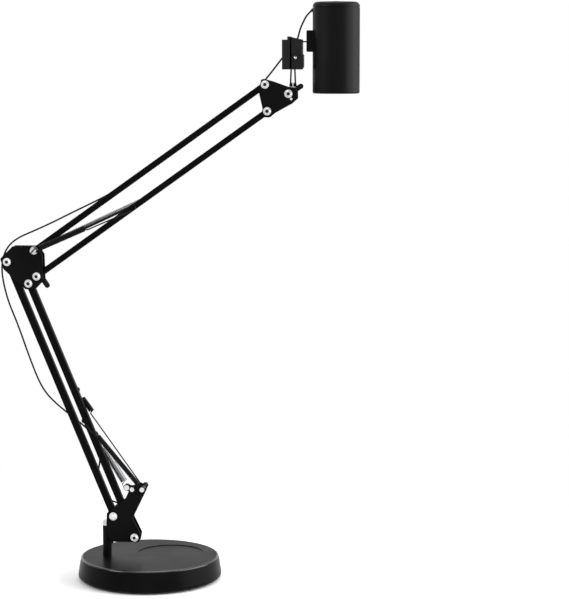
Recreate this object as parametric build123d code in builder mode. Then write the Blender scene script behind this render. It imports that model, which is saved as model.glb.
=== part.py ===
from build123d import *
import math
import os

# Art projector: a small cylindrical projector, lens down, on a spring-balanced arm of two
# parallelograms, over a round weighted base. Millimetres, +X to the right, +Y away from the
# viewer, +Z up. The origin is the centre of the base's underside. Places in the arm's plane
# are (x, z), and "near" and "far" are its two sides, at low and high y.

# Clearances
running = 0.05  # radial, a shaft that turns or slides in its hole
fixed = 0.03  # radial, a pin that stays in its hole
working = 0.3  # between neighbours that move past each other

# Base
base_radius = 91.0
base_top_radius = 87.0
base_height = 29.0
base_lift = 2.0  # the cover's lower edge above the table
base_edge_round = 4.5
base_top_round = 2.5
cover_top_wall = 2.5
cover_side_wall = 5.0  # from the top's radius to the hollow's
dish_radius = 42.0
dish_depth = 0.8
dish_place = (24.0, 15.0)
pad_radius = 76.0
base_plate_thickness = 2.0

# Post and swivel
post_x = -54.5
post_radius = 5.5
post_top = 66.7
post_foot = 8.0
post_chamfer = 0.5
post_bore_radius = 3.7
post_bore_depth = 26.7
bush_length = 22.0
bush_flange_radius = 5.3
bush_flange_thickness = 0.5
swivel_pin_radius = 3.2
swivel_pin_depth = 21.7  # below the post's top
swivel_block_left = 4.8  # from the post's axis
swivel_block_right = 18.0
swivel_block_height = 5.4
swivel_block_round = 1.5

# Arm: each arm is two equal bars, whose pivots are a link apart
yoke_pivot_offset = (9.3, 12.4)  # the left bar's pivot, from the post's axis and flange
lower_arm_length = 347.0
lower_arm_angle = 112.2
lower_link_length = 38.0
lower_link_angle = -45.0
lower_bar_width = 8.8
elbow_offset = (34.6, 14.68)  # from the lower arm's left pivot to the upper arm's top pivot
upper_arm_length = 355.3
upper_arm_angle = 35.46
upper_link_length = 32.6
upper_link_angle = -85.3
upper_bar_width = 7.6
bar_edge_round = 1.0
head_bolt_offset = (28.8, -11.2)  # from the upper arm's top pivot

# Plates, whose outlines are offsets from the first pivot in each, and their fasteners
plate_thickness = 1.5
plate_inside = 6.0  # from the arm's middle plane to a plate
plate_corner = 2.6
yoke_outline = [
    (-8.4, 3.9),
    (-9.0, -13.6),
    (-4.3, -32.8),
    (32.8, -32.8),
    (34.4, -22.1),
    (24.4, -1.4),
    (41.2, 33.2),
    (34.7, 41.4),
    (22.0, 37.0),
    (14.8, 21.4),
    (5.0, 14.8),
]
elbow_outline = [
    (7.3, 19.7),
    (37.9, 19.7),
    (44.9, 9.1),
    (45.7, -21.9),
    (33.9, -34.5),
    (22.9, -34.1),
    (-4.5, -9.3),
    (-8.7, 3.9),
]
head_outline = [
    (-4.6, 7.3),
    (8.4, 3.9),
    (27.4, -2.8),
    (39.4, -3.9),
    (39.6, -17.1),
    (32.6, -23.3),
    (11.2, -35.1),
    (5.0, -40.3),
    (-4.0, -39.7),
    (-3.2, -29.1),
    (-7.8, -8.7),
]
bolt_radius = 2.0
bolt_head_radius = 3.9
bolt_head_height = 2.2
bolt_head_chamfer = 0.5
socket_radius = 2.3
socket_depth = 1.3
washer_radius = 5.0
washer_thickness = 0.8
spacer_radius = 4.1
nut_radius = 4.04
nut_height = 3.4
nut_thread_out = 0.3
stop_screw_radius = 1.6
stop_screw_offset = (3.4, -6.3)  # from the head bolt
stop_screw_out = 0.4
knob_hub_radius = 4.6
knob_wing_reach = 19.5
knob_wing_width = 6.4
knob_wing_thickness = 3.2
knob_wing_round = 0.8
elbow_knob_angle = -56.0
head_knob_angle = 33.0
head_knob_rise = 2.1

# Springs: their pins stand out on both sides of the arm
spring_depth = 11.5  # from the arm's middle plane to a spring's axis
spring_wire = 1.0
spring_mean_radius = 2.7
balance_mean_radius = 3.2
tie_wire = 1.3
coil_lead = 9.0  # from a spring's pin to its first curl
spool_radius = 3.0
spool_end = 10.2
spring_pin_end = 13.4
spring_pin_cap_radius = 3.9
horn_cap_radius = 2.9
spring_pin_cap = 1.8
slot_width = 1.6
slot_depth = 1.0
slot_angle = 50.0
horn_offset = (37.8, 36.0)  # from the lower arm's left pivot, as are the next three
balance_offset = (15.2, 34.2)
ear_offset = (28.2, 31.9)
plate_screw_offset = (24.4, 35.0)
ear_radius = 4.3
balance_head_radius = 3.5
balance_head_height = 1.3
plate_screw_radius = 1.5
plate_screw_head_radius = 2.6
plate_screw_head = 1.0
plate_screw_nut_radius = 3.1
plate_screw_nut = 2.0
stud_radius = 1.5
stud_cap_radius = 3.6
stud_cap = 1.0
lower_stud = 162.0  # places of the springs' studs along their bars, from the lower pivot
tie_stud = 199.0
balance_stud = 138.0
upper_near_stud = 150.8
upper_far_stud = 167.0
lower_curls = 18
lower_coil = 78.0
tie_curls = 6
tie_coil = 20.0
tie_lead = 116.0
balance_curls = 10
balance_coil = 42.0
upper_curls = 16
upper_coil = 62.0
far_curls = 36
far_coil = 136.0

# Head: tilting clevis, swivelling stud and the fork on it
swivel_offset = 5.0  # from the head bolt to the swivel axis
clevis_eye_radius = 5.4
clevis_side = 0.4  # its gap to each plate
clevis_rise = 6.8  # from the head bolt to its top
stud_flange_radius = 3.6
stud_flange_thickness = 1.6
stud_seat_depth = 3.0
head_stud_radius = 1.75
stud_collar_radius = 2.05
stud_collar_height = 1.2
fork_height = 20.8
fork_bottom_half = 3.15  # from the swivel axis to the middle of a leg
fork_top_half = 2.25
fork_leg_thickness = 1.6
fork_leg_depth = 6.0
fork_foot_half = 4.2
fork_foot_height = 3.4
fork_foot_depth = 7.0

# Clamp, measured from the swivel axis and from the fork's top
clamp_left = 13.0
clamp_right = 11.7
clamp_height = 36.2
clamp_ridge_left = 6.2
clamp_ridge_height = 40.0
clamp_ridge_slope = 1.0
groove_left = 3.1
groove_width = 2.0
clamp_half_depth = 11.0
clamp_back = 5.0  # the thickness of its far wall
clamp_floor = 1.5
clamp_round = 3.0
clamp_button_reach = 13.4
clamp_button_height = 18.6
clamp_button_round = 1.6
clamp_button_travel = 1.6
clamp_screw_offset = (4.0, 14.2)
clamp_screw_radius = 2.2
clamp_screw_height = 0.9

# Tongue and mount block between the clamp and the projector
tongue_rise = 33.7  # above the fork's top
tongue_thickness = 1.6
tongue_half_width = 4.5
tongue_in_clamp = 9.1
tongue_in_block = 4.7
block_gap = 5.2  # between the clamp and the mount block
block_depth = 7.1  # from its left face to the projector
block_below = 12.4  # from the tongue to its bottom
block_height = 26.2
block_half_width = 9.0
block_round = 1.5

# Projector
projector_radius = 28.85
ring_drop = 62.9  # from the tongue to the focus ring's lower edge
ring_radius = 28.85
ring_bore_radius = 23.0
ring_height = 5.3
ring_round = 2.0
ring_spigot_length = 4.0
ring_spigot_wall = 1.4
shell_wall = 1.6
shell_length = 98.8
cap_seam = 0.6
cap_height = 6.2
cap_round = 5.8
cap_spigot_wall = 1.6
cap_spigot_length = 1.0
cap_floor = 0.8
power_button_radius = 5.0
power_button_travel = 1.0
power_button_proud = 0.6
power_button_round = 0.5
gland_drop = 2.9  # from the shell's top
gland_radius = 1.7
gland_out = 2.4
gland_in = 1.8
gland_dip = 40.0

# Optics and light source, from the focus ring's lower edge up
barrel_rise = 8.2
barrel_radius = 22.0
barrel_wall = 2.4
barrel_length = 27.0
barrel_travel = 3.0
projection_lens_rise = 4.0
projection_lens_height = 9.0
lens_crown = 2.2
frame_rise = 21.2
aperture_radius = 18.5
aperture_gap = 2.5  # above the barrel's highest place
aperture_thickness = 1.5
slide_thickness = 1.0
slide_radius = 21.0
spacer_ring_wall = 1.5
condenser_gap = 6.0  # from the slide to the lens above it
condenser_height = 8.0
frame_above_condenser = 4.0
sink_gap = 4.0
sink_plate = 4.0
fin_height = 18.0
fin_length = 40.0
fin_count = 9
fin_thickness = 1.4
fin_pitch = 4.2
board_thickness = 1.6
board_radius = 20.0
chip_size = 6.0
chip_height = 1.4

# Power cord: its points are chosen by hand, from the gland to the coil behind the base
cord_diameter = 2.2
cord_exit_run = 6.0
cord_points = [
    (194.6, 1.6, 699.2),
    (189.6, 7.2, 689.4),
    (186.6, 13.2, 679.0),
    (182.4, 13.3, 667.6),
    (172.2, 13.0, 661.2),
    (166.2, 12.9, 652.6),
    (157.2, 13.1, 640.9),
    (147.4, 13.4, 628.6),
    (139.4, 13.2, 620.0),
    (128.2, 8.6, 608.6),
    (108.0, 6.3, 593.2),
    (72.0, 6.0, 568.6),
    (26.0, 6.2, 534.6),
    (-18.0, 6.0, 504.4),
    (-48.0, 7.0, 485.6),
    (-73.7, 8.0, 472.8),
    (-99.1, 8.5, 460.6),
    (-124.7, 9.0, 447.8),
    (-146.0, 9.2, 438.3),
    (-162.5, 9.4, 431.2),
    (-173.0, 9.4, 424.4),
    (-180.8, 9.4, 415.2),
    (-185.7, 9.4, 402.6),
    (-186.9, 9.6, 387.6),
    (-184.5, 9.9, 369.6),
    (-178.6, 10.6, 346.8),
    (-167.4, 11.6, 319.0),
    (-154.9, 13.2, 280.7),
    (-142.7, 14.8, 247.3),
    (-131.9, 15.8, 229.0),
    (-113.2, 16.2, 211.9),
    (-91.4, 16.2, 195.5),
    (-77.4, 16.2, 183.0),
    (-68.0, 16.2, 165.2),
    (-65.2, 16.2, 147.4),
    (-68.0, 16.2, 133.4),
    (-66.4, 16.2, 118.2),
    (-62.6, 16.2, 105.4),
    (-54.5, 16.2, 95.3),
    (-42.5, 16.2, 91.8),
    (-34.6, 16.0, 83.4),
    (-33.4, 15.8, 69.6),
    (-39.8, 15.7, 56.0),
    (-48.4, 16.6, 43.6),
    (-55.4, 20.4, 34.4),
    (-58.6, 29.6, 30.6),
    (-61.4, 44.0, 30.7),
    (-64.2, 58.4, 31.5),
    (-66.4, 70.0, 26.4),
    (-68.2, 79.6, 16.6),
    (-69.8, 89.4, 6.8),
]
# Each stretch ends in the middle of the run after the corner of this number
stretch_ends = {
    "cord_head": 7,
    "cord_neck": 8,
    "cord_upper_arm": 16,
    "cord_elbow_top": 24,
    "cord_elbow_side": 33,
    "cord_yoke": 43,
}
cord_last_run = 12.0
coil_centre = (-50.0, 118.0)
coil_inner_radius = 11.0
coil_turns_per_layer = 3.625
coil_pitch = 2.75
coil_layer_rise = 2.75
coil_turnback = 0.8
coil_rest = 1.15  # the lower layer's middle above the table
coil_samples = 24  # for each half turn, where its gap and length are measured
coil_tail = 26.0
plug_length = 22.0
plug_width = 14.0
plug_round = 1.6
plug_shell_length = 14.0
plug_shell_width = 12.0
plug_shell_height = 4.5


def polar(place, length, angle):
    """The place at a length and an angle in degrees from another, in the arm's plane."""
    turn = math.radians(angle)
    return (place[0] + length * math.cos(turn), place[1] + length * math.sin(turn))


def shifted(place, offset):
    return (place[0] + offset[0], place[1] + offset[1])


def side(y):
    """The upright plane at depth y, whose own x and y are the object's X and Z."""
    return Plane.XZ.offset(-y)


# Pivots, worked out from the arm's lengths and angles
flange_top = post_top + bush_flange_thickness
lower_left = shifted((post_x, flange_top), yoke_pivot_offset)
lower_right = polar(lower_left, lower_link_length, lower_link_angle)
elbow_left = polar(lower_left, lower_arm_length, lower_arm_angle)
elbow_low = polar(lower_right, lower_arm_length, lower_arm_angle)
elbow_top = shifted(elbow_left, elbow_offset)
elbow_right = polar(elbow_top, upper_link_length, upper_link_angle)
head_top = polar(elbow_top, upper_arm_length, upper_arm_angle)
head_low = polar(elbow_right, upper_arm_length, upper_arm_angle)
head_bolt = shifted(head_top, head_bolt_offset)
horn = shifted(lower_left, horn_offset)
balance_pin_place = shifted(lower_left, balance_offset)
plate_screw_place = shifted(lower_left, plate_screw_offset)

# Depths of what is stacked on the plates
plate_outside = plate_inside + plate_thickness
washer_outside = plate_outside + washer_thickness
bolt_end = washer_outside + nut_height + nut_thread_out
bolt_bore = bolt_radius + running


def rods(places, radius, start, end):
    """Round rods along Y at the places, from depth start to depth end."""
    with BuildPart() as made:
        with BuildSketch(side(end)):
            with Locations(*places):
                Circle(radius)
        extrude(amount=end - start)
    return made.part


def rings(places, radius, bore, start, end):
    """Washers or sleeves along Y at the places, from depth start to depth end."""
    with BuildPart() as made:
        with BuildSketch(side(end)):
            with Locations(*places):
                Circle(radius)
                Circle(bore, mode=Mode.SUBTRACT)
        extrude(amount=end - start)
    return made.part


def on_both_sides(places, radius, bore, inner, outer):
    """The same washers on the near and the far side."""
    with BuildPart() as made:
        add(rings(places, radius, bore, inner, outer))
        add(rings(places, radius, bore, -outer, -inner))
    return made.part


def bolts(places, end):
    """Socket-head bolts whose heads are on the near washers."""
    face = washer_outside + bolt_head_height
    with BuildPart() as made:
        add(rods(places, bolt_radius, -washer_outside, end))
        add(rods(places, bolt_head_radius, -face, -washer_outside))
        outer_faces = made.faces().sort_by(Axis.Y)[: len(places)]
        chamfer([edge for face in outer_faces for edge in face.edges()], bolt_head_chamfer)
        with BuildSketch(side(socket_depth - washer_outside - bolt_head_height)):
            with Locations(*places):
                RegularPolygon(socket_radius, 6)
        extrude(amount=socket_depth, mode=Mode.SUBTRACT)
    return made.part


def nuts(places, start):
    """Hexagon nuts, from depth start out."""
    with BuildPart() as made:
        with BuildSketch(side(start + nut_height)):
            with Locations(*places):
                RegularPolygon(nut_radius, 6)
                Circle(bolt_bore, mode=Mode.SUBTRACT)
        extrude(amount=nut_height)
    return made.part


def plates(corner, outline, bores, small_bores=()):
    """A near and a far plate of one outline, given by its offsets from a corner pivot."""
    with BuildPart() as made:
        for outer in (plate_outside, -plate_inside):
            with BuildSketch(side(outer)) as profile:
                with BuildLine():
                    Polyline(*[shifted(corner, offset) for offset in outline], close=True)
                make_face()
                fillet(profile.vertices(), plate_corner)
                with Locations(*bores):
                    Circle(bolt_bore, mode=Mode.SUBTRACT)
                if small_bores:
                    with Locations(*small_bores):
                        Circle(stop_screw_radius + fixed, mode=Mode.SUBTRACT)
            extrude(amount=plate_thickness)
    return made.part


def arm_bar(start, end, width, studs):
    """A square bar with round ends and a bore at each pivot. A stud is (along, way)."""
    length = math.dist(start, end)
    angle = math.degrees(math.atan2(end[1] - start[1], end[0] - start[0]))
    middle = polar(start, length / 2, angle)
    with BuildPart() as made:
        with BuildSketch(side(width / 2)):
            with Locations(middle):
                SlotCenterToCenter(length, width, rotation=angle)
        extrude(amount=width)
        flats = made.faces().filter_by(Axis.Y)
        fillet([edge for flat in flats for edge in flat.edges()], bar_edge_round)
        add(rods([start, end], bolt_bore, -width, width), mode=Mode.SUBTRACT)
        for along, way in studs:
            place = polar(start, along, angle)
            tip = way * (spring_pin_end + stud_cap)
            cap = way * spring_pin_end
            add(rods([place], stud_radius, min(0, tip), max(0, tip)))
            add(rods([place], stud_cap_radius, min(cap, tip), max(cap, tip)))
    return made.part


def wing_knob(place, angle, rise):
    """A two-winged nut on the far end of a bolt, its wings a rise above its seat."""
    start = washer_outside + running
    end = start + rise + knob_wing_thickness
    with BuildPart() as made:
        with BuildSketch(side(end)):
            with Locations(place):
                reach = 2 * knob_wing_reach - knob_wing_width
                SlotCenterToCenter(reach, knob_wing_width, rotation=angle)
        extrude(amount=knob_wing_thickness)
        fillet(made.faces().sort_by(Axis.Y)[-1].edges(), knob_wing_round)
        add(rods([place], knob_hub_radius, start, end - knob_wing_round))
        add(rods([place], bolt_bore, start - 1, end + 1), mode=Mode.SUBTRACT)
    return made.part


def spring_pin(place, spool_start, cap_radius, slotted):
    """A pin through both plates with a cap, spools beside the springs' eyes, and a nut."""
    with BuildPart() as made:
        add(rods([place], bolt_radius, -spring_pin_end, spring_pin_end + nut_height))
        face = spring_pin_end + spring_pin_cap
        add(rods([place], cap_radius, -face, -spring_pin_end))
        if slotted:
            with BuildSketch(side(slot_depth - face)):
                with Locations(place):
                    Rectangle(3 * cap_radius, slot_width, rotation=slot_angle)
            extrude(amount=slot_depth, mode=Mode.SUBTRACT)
        add(on_both_sides([place], spool_radius, bolt_bore, spool_start, spool_end))
        add(nuts([place], spring_pin_end))
    return made.part


def tube(axis_x, outer, inner, bottom, top):
    """An upright sleeve, or a disc where inner is 0."""
    with BuildPart() as made:
        with BuildSketch(Plane.XY.offset(bottom)):
            with Locations((axis_x, 0)):
                Circle(outer)
                if inner > 0:
                    Circle(inner, mode=Mode.SUBTRACT)
        extrude(amount=top - bottom)
    return made.part


def lens(axis_x, radius, bottom, height, crown):
    """An upright round lens, its two faces parts of spheres that rise by the crown."""
    top = bottom + height
    sphere = (radius**2 + crown**2) / (2 * crown)
    half_drop = sphere - math.sqrt(sphere**2 - radius**2 / 4)
    with BuildPart() as made:
        with BuildSketch(Plane.XZ):
            with BuildLine():
                Line((0, bottom), (0, top))
                ThreePointArc((0, top), (radius / 2, top - half_drop), (radius, top - crown))
                Line((radius, top - crown), (radius, bottom + crown))
                low_middle = (radius / 2, bottom + half_drop)
                ThreePointArc((radius, bottom + crown), low_middle, (0, bottom))
            make_face()
        revolve(axis=Axis.Z)
    return made.part.moved(Location((axis_x, 0, 0)))


os.makedirs("parts", exist_ok=True)

# Base
cover_cavity_radius = base_top_radius - cover_side_wall
with BuildPart() as base_cover:
    with BuildSketch(Plane.XZ) as cover_profile:
        with BuildLine():
            Polyline(
                (0, base_lift),
                (base_radius, base_lift),
                (base_top_radius, base_height),
                (0, base_height),
                close=True,
            )
        make_face()
        outer_corners = cover_profile.vertices().sort_by(Axis.X)[-2:].sort_by(Axis.Y)
        fillet(outer_corners[0], base_edge_round)
        fillet(cover_profile.vertices().group_by(Axis.Y)[-1].sort_by(Axis.X)[-1], base_top_round)
    revolve(axis=Axis.Z)
    with BuildSketch(Plane.XY.offset(base_lift)):
        Circle(cover_cavity_radius)
    extrude(amount=base_height - cover_top_wall - base_lift, mode=Mode.SUBTRACT)
    with BuildSketch(Plane.XY.offset(base_height)):
        with Locations(dish_place):
            Circle(dish_radius)
    extrude(amount=-dish_depth, taper=45, mode=Mode.SUBTRACT)
    with BuildSketch(Plane.XY.offset(base_height)):
        with Locations((post_x, 0)):
            Circle(post_radius + fixed)
    extrude(amount=-2 * cover_top_wall, mode=Mode.SUBTRACT)
base_cover.part.label = "base_cover"
export_step(base_cover.part, "parts/base_cover.step")

weight_bottom = base_lift + base_plate_thickness
weight_top = base_height - cover_top_wall - working
with BuildPart() as base_weight:
    with BuildSketch(Plane.XY.offset(weight_bottom)):
        Circle(cover_cavity_radius - working)
    extrude(amount=weight_top - weight_bottom)
    with BuildSketch(Plane.XY.offset(post_foot)):
        with Locations((post_x, 0)):
            Circle(post_radius + fixed)
    extrude(amount=base_height, mode=Mode.SUBTRACT)
base_weight.part.label = "base_weight"
export_step(base_weight.part, "parts/base_weight.step")

with BuildPart() as base_plate:
    with BuildSketch(Plane.XY.offset(base_lift)):
        Circle(cover_cavity_radius - fixed)
    extrude(amount=base_plate_thickness)
base_plate.part.label = "base_plate"
export_step(base_plate.part, "parts/base_plate.step")

with BuildPart() as base_pad:
    with BuildSketch():
        Circle(pad_radius)
    extrude(amount=base_lift)
base_pad.part.label = "base_pad"
export_step(base_pad.part, "parts/base_pad.step")

# Post, with the bush that the yoke swivels in
with BuildPart() as post:
    with BuildSketch(Plane.XY.offset(post_foot)):
        with Locations((post_x, 0)):
            Circle(post_radius)
    extrude(amount=post_top - post_foot)
    chamfer(post.faces().sort_by(Axis.Z)[-1].edges(), post_chamfer)
    with BuildSketch(Plane.XY.offset(post_top)):
        with Locations((post_x, 0)):
            Circle(post_bore_radius)
    extrude(amount=-post_bore_depth, mode=Mode.SUBTRACT)
post.part.label = "post"
export_step(post.part, "parts/post.step")

with BuildPart() as post_bush:
    bush_bore = swivel_pin_radius + running
    add(tube(post_x, post_bore_radius - fixed, bush_bore, post_top - bush_length, post_top))
    add(tube(post_x, bush_flange_radius, bush_bore, post_top, flange_top))
post_bush.part.label = "post_bush"
export_step(post_bush.part, "parts/post_bush.step")

# Yoke
with BuildPart() as swivel_pin:
    pin_top = flange_top + swivel_block_height
    add(tube(post_x, swivel_pin_radius, 0, post_top - swivel_pin_depth, pin_top))
swivel_pin.part.label = "swivel_pin"
export_step(swivel_pin.part, "parts/swivel_pin.step")

with BuildPart() as swivel_block:
    with BuildSketch(side(plate_inside)):
        with Locations((post_x - swivel_block_left, flange_top)):
            block_length = swivel_block_left + swivel_block_right
            Rectangle(block_length, swivel_block_height, align=(Align.MIN, Align.MIN))
    extrude(amount=2 * plate_inside)
    fillet(swivel_block.edges().filter_by(Axis.Z).group_by(Axis.X)[0], swivel_block_round)
    add(
        tube(post_x, swivel_pin_radius + fixed, 0, flange_top - 1, pin_top + 1),
        mode=Mode.SUBTRACT,
    )
swivel_block.part.label = "swivel_block"
export_step(swivel_block.part, "parts/swivel_block.step")

with BuildPart() as yoke_plates:
    add(plates(lower_left, yoke_outline, [lower_left, lower_right, horn]))
    ear_start = shifted(lower_left, ear_offset)
    ear_reach = math.dist(ear_start, balance_pin_place)
    ear_rise = balance_pin_place[1] - ear_start[1]
    ear_angle = math.degrees(math.atan2(ear_rise, balance_pin_place[0] - ear_start[0]))
    with BuildSketch(side(plate_outside)):
        with Locations(polar(ear_start, ear_reach / 2, ear_angle)):
            SlotCenterToCenter(ear_reach, 2 * ear_radius, rotation=ear_angle)
    extrude(amount=plate_thickness)
    add(
        rods([balance_pin_place], bolt_radius + fixed, plate_inside - 1, plate_outside + 1),
        mode=Mode.SUBTRACT,
    )
    add(
        rods([plate_screw_place], plate_screw_radius + fixed, -plate_outside - 1, 0),
        mode=Mode.SUBTRACT,
    )
yoke_plates.part.label = "yoke_plates"
export_step(yoke_plates.part, "parts/yoke_plates.step")

with BuildPart() as yoke_bolts:
    yoke_places = [lower_left, lower_right]
    add(bolts(yoke_places, bolt_end))
    add(nuts(yoke_places, washer_outside))
    screw_end = plate_outside + plate_screw_nut
    screw_head_end = plate_inside - plate_screw_head
    add(rods([plate_screw_place], plate_screw_radius, -screw_end, -plate_inside))
    add(
        rods([plate_screw_place], plate_screw_head_radius, -plate_inside, -screw_head_end),
    )
    with BuildSketch(side(-plate_outside)):
        with Locations(plate_screw_place):
            RegularPolygon(plate_screw_nut_radius, 6)
    extrude(amount=plate_screw_nut)
yoke_bolts.part.label = "yoke_bolts"
export_step(yoke_bolts.part, "parts/yoke_bolts.step")

with BuildPart() as yoke_washers:
    lower_face = lower_bar_width / 2 + running
    add(on_both_sides(yoke_places, washer_radius, bolt_bore, plate_outside, washer_outside))
    add(on_both_sides(yoke_places, spacer_radius, bolt_bore, lower_face, plate_inside))
yoke_washers.part.label = "yoke_washers"
export_step(yoke_washers.part, "parts/yoke_washers.step")

with BuildPart() as yoke_spring_pins:
    add(spring_pin(horn, plate_outside, horn_cap_radius, slotted=False))
    head_start = plate_inside - balance_head_height
    add(rods([balance_pin_place], balance_head_radius, head_start, plate_inside))
    add(rods([balance_pin_place], bolt_radius, plate_inside, spring_pin_end))
    cap_end = spring_pin_end + stud_cap
    add(rods([balance_pin_place], balance_head_radius, spring_pin_end, cap_end))
    add(rings([balance_pin_place], spool_radius, bolt_bore, plate_outside, spool_end))
yoke_spring_pins.part.label = "yoke_spring_pins"
export_step(yoke_spring_pins.part, "parts/yoke_spring_pins.step")

# Bars
with BuildPart() as lower_bar_left:
    add(arm_bar(lower_left, elbow_left, lower_bar_width, []))
lower_bar_left.part.label = "lower_bar_left"
export_step(lower_bar_left.part, "parts/lower_bar_left.step")

with BuildPart() as lower_bar_right:
    lower_studs = [(lower_stud, -1), (tie_stud, 1), (balance_stud, 1)]
    add(arm_bar(lower_right, elbow_low, lower_bar_width, lower_studs))
lower_bar_right.part.label = "lower_bar_right"
export_step(lower_bar_right.part, "parts/lower_bar_right.step")

with BuildPart() as upper_bar_top:
    add(arm_bar(elbow_top, head_top, upper_bar_width, []))
upper_bar_top.part.label = "upper_bar_top"
export_step(upper_bar_top.part, "parts/upper_bar_top.step")

with BuildPart() as upper_bar_bottom:
    upper_studs = [(upper_near_stud, -1), (upper_far_stud, 1)]
    add(arm_bar(elbow_right, head_low, upper_bar_width, upper_studs))
upper_bar_bottom.part.label = "upper_bar_bottom"
export_step(upper_bar_bottom.part, "parts/upper_bar_bottom.step")

# Elbow
elbow_places = [elbow_left, elbow_low, elbow_top, elbow_right]
with BuildPart() as elbow_plates:
    add(plates(elbow_left, elbow_outline, elbow_places))
elbow_plates.part.label = "elbow_plates"
export_step(elbow_plates.part, "parts/elbow_plates.step")

elbow_knob_rise = nut_height + nut_thread_out + working
with BuildPart() as elbow_bolts:
    add(bolts([elbow_left, elbow_low, elbow_right], bolt_end))
    add(nuts([elbow_left, elbow_low], washer_outside))
elbow_bolts.part.label = "elbow_bolts"
export_step(elbow_bolts.part, "parts/elbow_bolts.step")

with BuildPart() as elbow_washers:
    upper_face = upper_bar_width / 2 + running
    add(on_both_sides(elbow_places, washer_radius, bolt_bore, plate_outside, washer_outside))
    add(on_both_sides(elbow_places[:2], spacer_radius, bolt_bore, lower_face, plate_inside))
    add(on_both_sides(elbow_places[2:], spacer_radius, bolt_bore, upper_face, plate_inside))
elbow_washers.part.label = "elbow_washers"
export_step(elbow_washers.part, "parts/elbow_washers.step")

with BuildPart() as elbow_spring_pin:
    add(spring_pin(elbow_top, washer_outside, spring_pin_cap_radius, slotted=True))
elbow_spring_pin.part.label = "elbow_spring_pin"
export_step(elbow_spring_pin.part, "parts/elbow_spring_pin.step")

with BuildPart() as elbow_knob:
    add(wing_knob(elbow_right, elbow_knob_angle, elbow_knob_rise))
elbow_knob.part.label = "elbow_knob"
export_step(elbow_knob.part, "parts/elbow_knob.step")

# Head
stop_place = shifted(head_bolt, stop_screw_offset)
head_places = [head_top, head_low, head_bolt]
with BuildPart() as head_plates:
    add(plates(head_top, head_outline, head_places, [stop_place]))
head_plates.part.label = "head_plates"
export_step(head_plates.part, "parts/head_plates.step")

with BuildPart() as head_bolts:
    add(bolts(head_places, bolt_end))
    add(nuts(head_places[:2], washer_outside))
    stop_end = plate_outside + stop_screw_out
    add(rods([stop_place], stop_screw_radius, -stop_end, stop_end))
head_bolts.part.label = "head_bolts"
export_step(head_bolts.part, "parts/head_bolts.step")

with BuildPart() as head_washers:
    add(on_both_sides(head_places, washer_radius, bolt_bore, plate_outside, washer_outside))
    add(on_both_sides(head_places[:2], spacer_radius, bolt_bore, upper_face, plate_inside))
head_washers.part.label = "head_washers"
export_step(head_washers.part, "parts/head_washers.step")

with BuildPart() as head_knob:
    add(wing_knob(head_bolt, head_knob_angle, head_knob_rise))
head_knob.part.label = "head_knob"
export_step(head_knob.part, "parts/head_knob.step")

swivel_x = head_bolt[0] + swivel_offset
clevis_top = head_bolt[1] + clevis_rise
clevis_half_depth = plate_inside - clevis_side
with BuildPart() as tilt_clevis:
    with BuildSketch(side(clevis_half_depth)):
        with Locations(head_bolt):
            Circle(clevis_eye_radius)
        clevis_left = head_bolt[0] - clevis_eye_radius / 2
        with Locations((clevis_left, clevis_top)):
            clevis_length = swivel_x + stud_flange_radius - clevis_left
            Rectangle(clevis_length, clevis_rise, align=(Align.MIN, Align.MAX))
        with Locations(head_bolt):
            Circle(bolt_bore, mode=Mode.SUBTRACT)
    extrude(amount=2 * clevis_half_depth)
    with BuildSketch(Plane.XY.offset(clevis_top)):
        with Locations((swivel_x, 0)):
            Circle(head_stud_radius + fixed)
    extrude(amount=-stud_seat_depth, mode=Mode.SUBTRACT)
tilt_clevis.part.label = "tilt_clevis"
export_step(tilt_clevis.part, "parts/tilt_clevis.step")

stud_flange_top = clevis_top + stud_flange_thickness
fork_bottom = stud_flange_top + working
fork_top = fork_bottom + fork_height
foot_top = fork_bottom + fork_foot_height
with BuildPart() as swivel_stud:
    collar_bottom = foot_top + working
    collar_top = collar_bottom + stud_collar_height
    add(tube(swivel_x, head_stud_radius, 0, clevis_top - stud_seat_depth, collar_bottom))
    add(tube(swivel_x, stud_flange_radius, 0, clevis_top, stud_flange_top))
    add(tube(swivel_x, stud_collar_radius, 0, collar_bottom, collar_top))
swivel_stud.part.label = "swivel_stud"
export_step(swivel_stud.part, "parts/swivel_stud.step")

# Fork: two legs on a foot that is open towards the viewer and hugs the stud
with BuildPart() as fork:
    with BuildSketch(Plane.XY.offset(fork_bottom)):
        with Locations((swivel_x, 0)):
            Rectangle(2 * fork_foot_half, fork_foot_depth)
            foot_slot = 2 * (head_stud_radius + running)
            slot_align = (Align.CENTER, Align.MAX)
            Rectangle(foot_slot, fork_foot_depth, align=slot_align, mode=Mode.SUBTRACT)
            Circle(foot_slot / 2, mode=Mode.SUBTRACT)
    extrude(amount=fork_foot_height)
    for way in (-1, 1):
        half = fork_leg_thickness / 2
        with BuildSketch(side(fork_leg_depth / 2)):
            with BuildLine():
                Polyline(
                    (swivel_x + way * (fork_bottom_half - half), fork_bottom),
                    (swivel_x + way * (fork_bottom_half + half), fork_bottom),
                    (swivel_x + way * (fork_top_half + half), fork_top),
                    (swivel_x + way * (fork_top_half - half), fork_top),
                    close=True,
                )
            make_face()
        extrude(amount=fork_leg_depth)
fork.part.label = "fork"
export_step(fork.part, "parts/fork.step")

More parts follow.
